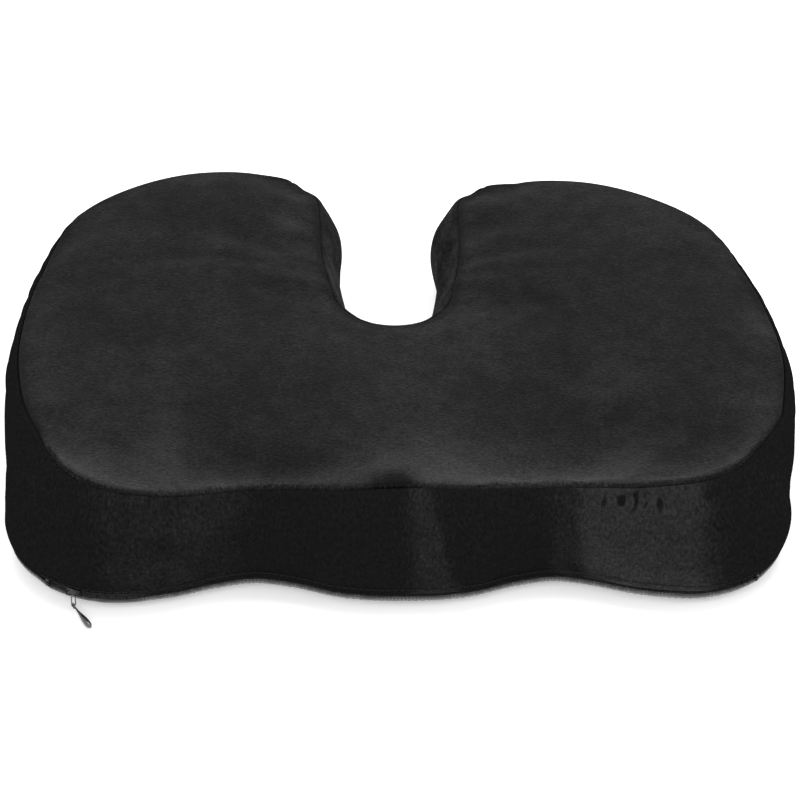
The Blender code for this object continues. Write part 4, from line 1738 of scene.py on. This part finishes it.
@dataclass
class Pull:
    """The slider with its bail, the wire link and the drop-shaped tab."""

    maker: Maker
    pivot: Vector = field(default_factory=lambda: Vector((-0.151, -0.0125, 0.0085)))
    angle: float = math.radians(246)
    heading: float = math.radians(-61)
    arc_radius: float = 0.050
    length: float = 0.0074
    half_height: float = 0.0022
    front_plate: Pair = (0.0083, 0.0095)
    back_plate: Pair = (0.0039, 0.0047)
    web: float = 0.00025
    bail_half_length: float = 0.0034
    bail_out: float = 0.0125
    bail_wire: float = 0.0004
    link_along: float = 0.0016
    link_wire: float = 0.00035
    link_half_width: float = 0.0011
    link_above: float = 0.0010
    eye_height: float = 0.0020
    eye_radius: float = 0.0013
    eye_wire: float = 0.00042
    tab_profile: tuple[Pair, ...] = (
        (0.0011, 0.0),
        (0.0013, 0.00030),
        (0.0020, 0.00046),
        (0.0050, 0.0006),
        (0.0085, 0.0010),
        (0.0120, 0.0015),
        (0.0150, 0.0017),
        (0.0178, 0.0016),
        (0.0194, 0.0011),
        (0.0201, 0.0005),
        (0.0202, 0.0),
    )

    def slider_place(self) -> Matrix:
        """The slider's own frame, whose X points out through it from the arc's centre."""
        return Matrix.Translation(self.pivot) @ Matrix.Rotation(self.angle, 4, "Z")

    def make_slider(self, finish: bpy.types.Material) -> None:
        """The body: a domed front plate with lugs for the bail, a web and a back plate."""
        radius, half = self.arc_radius, self.length / 2
        bm = bmesh.new()
        front = rounded_block(
            bm,
            Vector((radius + self.front_plate[0], -half, -self.half_height)),
            Vector((radius + self.front_plate[1], half, self.half_height)),
            0.0004,
        )
        for vert in front:
            nose = smooth_step((vert.co.y - half * 0.1) / half)
            tail = smooth_step((-vert.co.y - half * 0.5) / (half * 0.5))
            vert.co.z *= 1 - 0.30 * nose - 0.10 * tail
        rounded_block(
            bm,
            Vector((radius + self.back_plate[0], -half, -self.half_height)),
            Vector((radius + self.back_plate[1], half, self.half_height)),
            0.0002,
        )
        rounded_block(
            bm,
            Vector((radius + self.back_plate[1] - 0.0002, -half * 0.8, -self.web)),
            Vector((radius + self.front_plate[0] + 0.0002, half * 0.5, self.web)),
            0.0001,
        )
        for end in (-1, 1):
            middle = end * self.bail_half_length * 0.92
            rounded_block(
                bm,
                Vector((radius + self.front_plate[1] - 0.0004, middle - 0.0006, -0.0008)),
                Vector((radius + self.front_plate[1] + 0.0003, middle + 0.0006, 0.0008)),
                0.0002,
            )
        bmesh.ops.transform(bm, matrix=self.slider_place(), verts=bm.verts)
        self.maker.piece("slider_body", bm, finish, Body.SLIDER, Slot.METAL, ["zip_slider_body"], 40.0)

    def make_bail(self, finish: bpy.types.Material) -> None:
        """The bent wire bail."""
        foot = self.arc_radius + self.front_plate[1] - 0.0001
        out = self.arc_radius + self.bail_out
        bend = 0.0013
        path = [Vector((foot, -self.bail_half_length, 0.0))]
        for end in (-1, 1):
            centre = Vector((out - bend, end * (self.bail_half_length - bend), 0.0))
            arc = []
            for step in range(7):
                turn = math.radians(15 * step)
                arc.append(centre + Vector((math.sin(turn), end * math.cos(turn), 0.0)) * bend)
            path += arc if end < 0 else arc[::-1]
        path.append(Vector((foot, self.bail_half_length, 0.0)))
        place = self.slider_place()
        bm = tube([[place @ point for point in path]], self.bail_wire, 2)
        self.maker.piece("slider_bail", bm, finish, Body.SLIDER, Slot.METAL, ["zip_slider_bail"])

    def bar(self) -> Vector:
        """Where the link hangs on the bail's bar."""
        spoke = Vector((math.cos(self.angle), math.sin(self.angle), 0.0))
        along = Vector((-spoke.y, spoke.x, 0.0))
        return self.pivot + spoke * (self.arc_radius + self.bail_out) + along * self.link_along

    def make_link(self, finish: bpy.types.Material) -> None:
        """The wire link, a long loop with round ends."""
        bar = self.bar()
        drop = bar.z - self.eye_height
        radius = self.link_half_width
        path = []
        for centre, start in ((self.link_above - radius, 0), (radius - drop, 180)):
            for step in range(9):
                turn = math.radians(start + 22.5 * step)
                path.append(Vector((0.0, radius * math.cos(turn), centre + radius * math.sin(turn))))
        place = Matrix.Translation(bar) @ Matrix.Rotation(self.heading, 4, "Z")
        bm = tube([[place @ point for point in path]], self.link_wire, 2, ring=True)
        self.maker.piece("pull_link", bm, finish, Body.LINK, Slot.METAL, ["zip_pull_link"])

    def make_tab(self, finish: bpy.types.Material) -> None:
        """The drop-shaped tab and the eye at its thin end."""
        bm = spun(smooth_line(self.tab_profile[1:-1], 3), 20)
        ends = [edge for edge in bm.edges if edge.is_boundary]
        bmesh.ops.holes_fill(bm, edges=ends, sides=0)
        before = set(bm.verts)
        ring = bmesh.ops.create_circle(bm, segments=10, radius=self.eye_wire)["verts"]
        bmesh.ops.translate(bm, vec=(self.eye_radius, 0, 0), verts=ring)
        edges = list({edge for vert in ring for edge in vert.link_edges})
        bmesh.ops.spin(
            bm,
            geom=ring + edges,
            cent=(0, 0, 0),
            axis=(0, 1, 0),
            angle=FULL_TURN,
            steps=24,
            use_merge=True,
        )
        bmesh.ops.remove_doubles(bm, verts=[v for v in bm.verts if v not in before], dist=1e-6)
        bar = self.bar()
        place = Matrix.Translation((bar.x, bar.y, self.eye_height)) @ Matrix.Rotation(self.heading, 4, "Z")
        bmesh.ops.transform(bm, matrix=place, verts=bm.verts)
        self.maker.piece("pull_tab", bm, finish, Body.TAB, Slot.METAL, ["zip_pull_tab"], 50.0)


# ---------------------------------------------------------------------------------------------
# The studio


@dataclass(frozen=True)
class Lamp:
    """One soft box, aimed at the cushion."""

    name: str
    place: tuple[float, float, float]
    size: Pair
    power: float

    def make(self) -> None:
        """Adds the light."""
        data = bpy.data.lights.new(self.name, "AREA")
        data.shape = "RECTANGLE"
        data.size, data.size_y = self.size
        data.energy = self.power
        lamp = bpy.data.objects.new(self.name, data)
        lamp.location = self.place
        aim = Vector((0.0, 0.10, 0.03)) - Vector(self.place)
        lamp.rotation_euler = aim.to_track_quat("-Z", "Y").to_euler()
        bpy.context.scene.collection.objects.link(lamp)


@dataclass(frozen=True)
class Studio:
    """The pale floor, the soft lights and the camera."""

    target: tuple[float, float, float] = (0.0, 0.100, 0.030)
    elevation: float = math.radians(34.5)
    azimuth: float = math.radians(-2.5)
    roll: float = math.radians(1.2)
    distance: float = 1.640
    lens: float = 128.8
    shift: Pair = (0.005, -0.0275)
    floor_half: float = 4.0
    surround: float = 0.85
    lamps: tuple[Lamp, ...] = (
        Lamp("overhead_softbox", (0.1, 0.9, 2.2), (2.4, 1.6), 46.0),
        Lamp("front_left_softbox", (-1.3, -1.5, 1.5), (1.4, 1.0), 12.0),
        Lamp("right_softbox", (1.8, -0.4, 1.3), (1.2, 1.0), 9.0),
    )

    def make_floor(self, finish: bpy.types.Material) -> None:
        """The floor, just under the cushion."""
        bm = bmesh.new()
        bmesh.ops.create_grid(bm, x_segments=1, y_segments=1, size=self.floor_half)
        bmesh.ops.translate(bm, vec=(0, 0, -0.0002), verts=bm.verts)
        mesh = bpy.data.meshes.new("floor")
        bm.to_mesh(mesh)
        bm.free()
        mesh.materials.append(finish)
        floor = bpy.data.objects.new("floor", mesh)
        bpy.context.scene.collection.objects.link(floor)

    def make_light(self) -> None:
        """The even surround and the soft boxes."""
        world = bpy.data.worlds.new("studio")
        world.use_nodes = True
        background = world.node_tree.nodes["Background"]
        background.inputs["Color"].default_value = (1.0, 1.0, 1.0, 1.0)
        background.inputs["Strength"].default_value = self.surround
        bpy.context.scene.world = world
        for lamp in self.lamps:
            lamp.make()

    def make_camera(self) -> None:
        """The camera, in front of the cushion and above it."""
        flat = math.cos(self.elevation)
        back = Vector(
            (math.sin(self.azimuth) * flat, -math.cos(self.azimuth) * flat, math.sin(self.elevation))
        )
        level = (-back).cross(UP).normalized()
        rise = level.cross(-back)
        right = level * math.cos(self.roll) + rise * math.sin(self.roll)
        above = rise * math.cos(self.roll) - level * math.sin(self.roll)
        turn = Matrix((right, above, back)).transposed().to_4x4()
        data = bpy.data.cameras.new("camera")
        data.lens = self.lens
        data.sensor_width = 36.0
        data.shift_x, data.shift_y = self.shift
        camera = bpy.data.objects.new("camera", data)
        camera.matrix_world = Matrix.Translation(Vector(self.target) + back * self.distance) @ turn
        bpy.context.scene.collection.objects.link(camera)
        bpy.context.scene.camera = camera

    def make(self) -> None:
        """Sets up the studio."""
        bpy.context.scene.view_settings.view_transform = "Standard"
        self.make_camera()
        self.make_floor(Paper().make())
        self.make_light()


def main() -> None:
    """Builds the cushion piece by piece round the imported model."""
    logging.basicConfig(level=logging.INFO, format="%(name)s %(message)s")
    Studio().make()
    maker = Maker(Plan())
    top_velour = Velour("velour_top", Grain.ACROSS_THE_TOP, (520.0, 860.0, 600.0)).make()
    wall_velour = Velour(
        "velour_wall",
        Grain.ROUND_THE_WALL,
        (620.0, 420.0, 1.0),
        flat_colour=(0.0046, 0.0046, 0.0048),
        flat_light=(0.0115, 0.0115, 0.0120),
        sheen_flat=0.0,
        gloss=0.0,
    ).make()
    thread = Thread().make()
    metal = Metal().make()

    cover = Cover(maker)
    FoamBlock(maker).make(cover, Foam().make())
    cover.make_top(top_velour)
    cover.make_walls(wall_velour)
    cover.make_base(BaseCloth().make())
    cover.make_dots(Rubber().make())
    cover.make_fringe(top_velour)

    zipper = Zip(maker)
    run = zipper.run()
    zipper.make_tapes(run, Woven().make())
    zipper.make_coils(run, Plastic().make())
    black = Metal("zip_black_oxide", (0.045, 0.045, 0.047), (0.018, 0.018, 0.019))
    zipper.make_stops(run, black.make())
    zipper.make_stitches(run, thread)
    zipper.make_threads(thread)
    zipper.make_joins(cover, thread)

    pull = Pull(maker)
    dark = Metal("zip_dark_nickel", (0.075, 0.075, 0.078), (0.030, 0.030, 0.032))
    pull.make_slider(dark.make())
    pull.make_bail(metal)
    pull.make_link(metal)
    pull.make_tab(metal)

    LOG.info("%d pieces", len(maker.pieces))


if __name__ == "__main__":
    main()
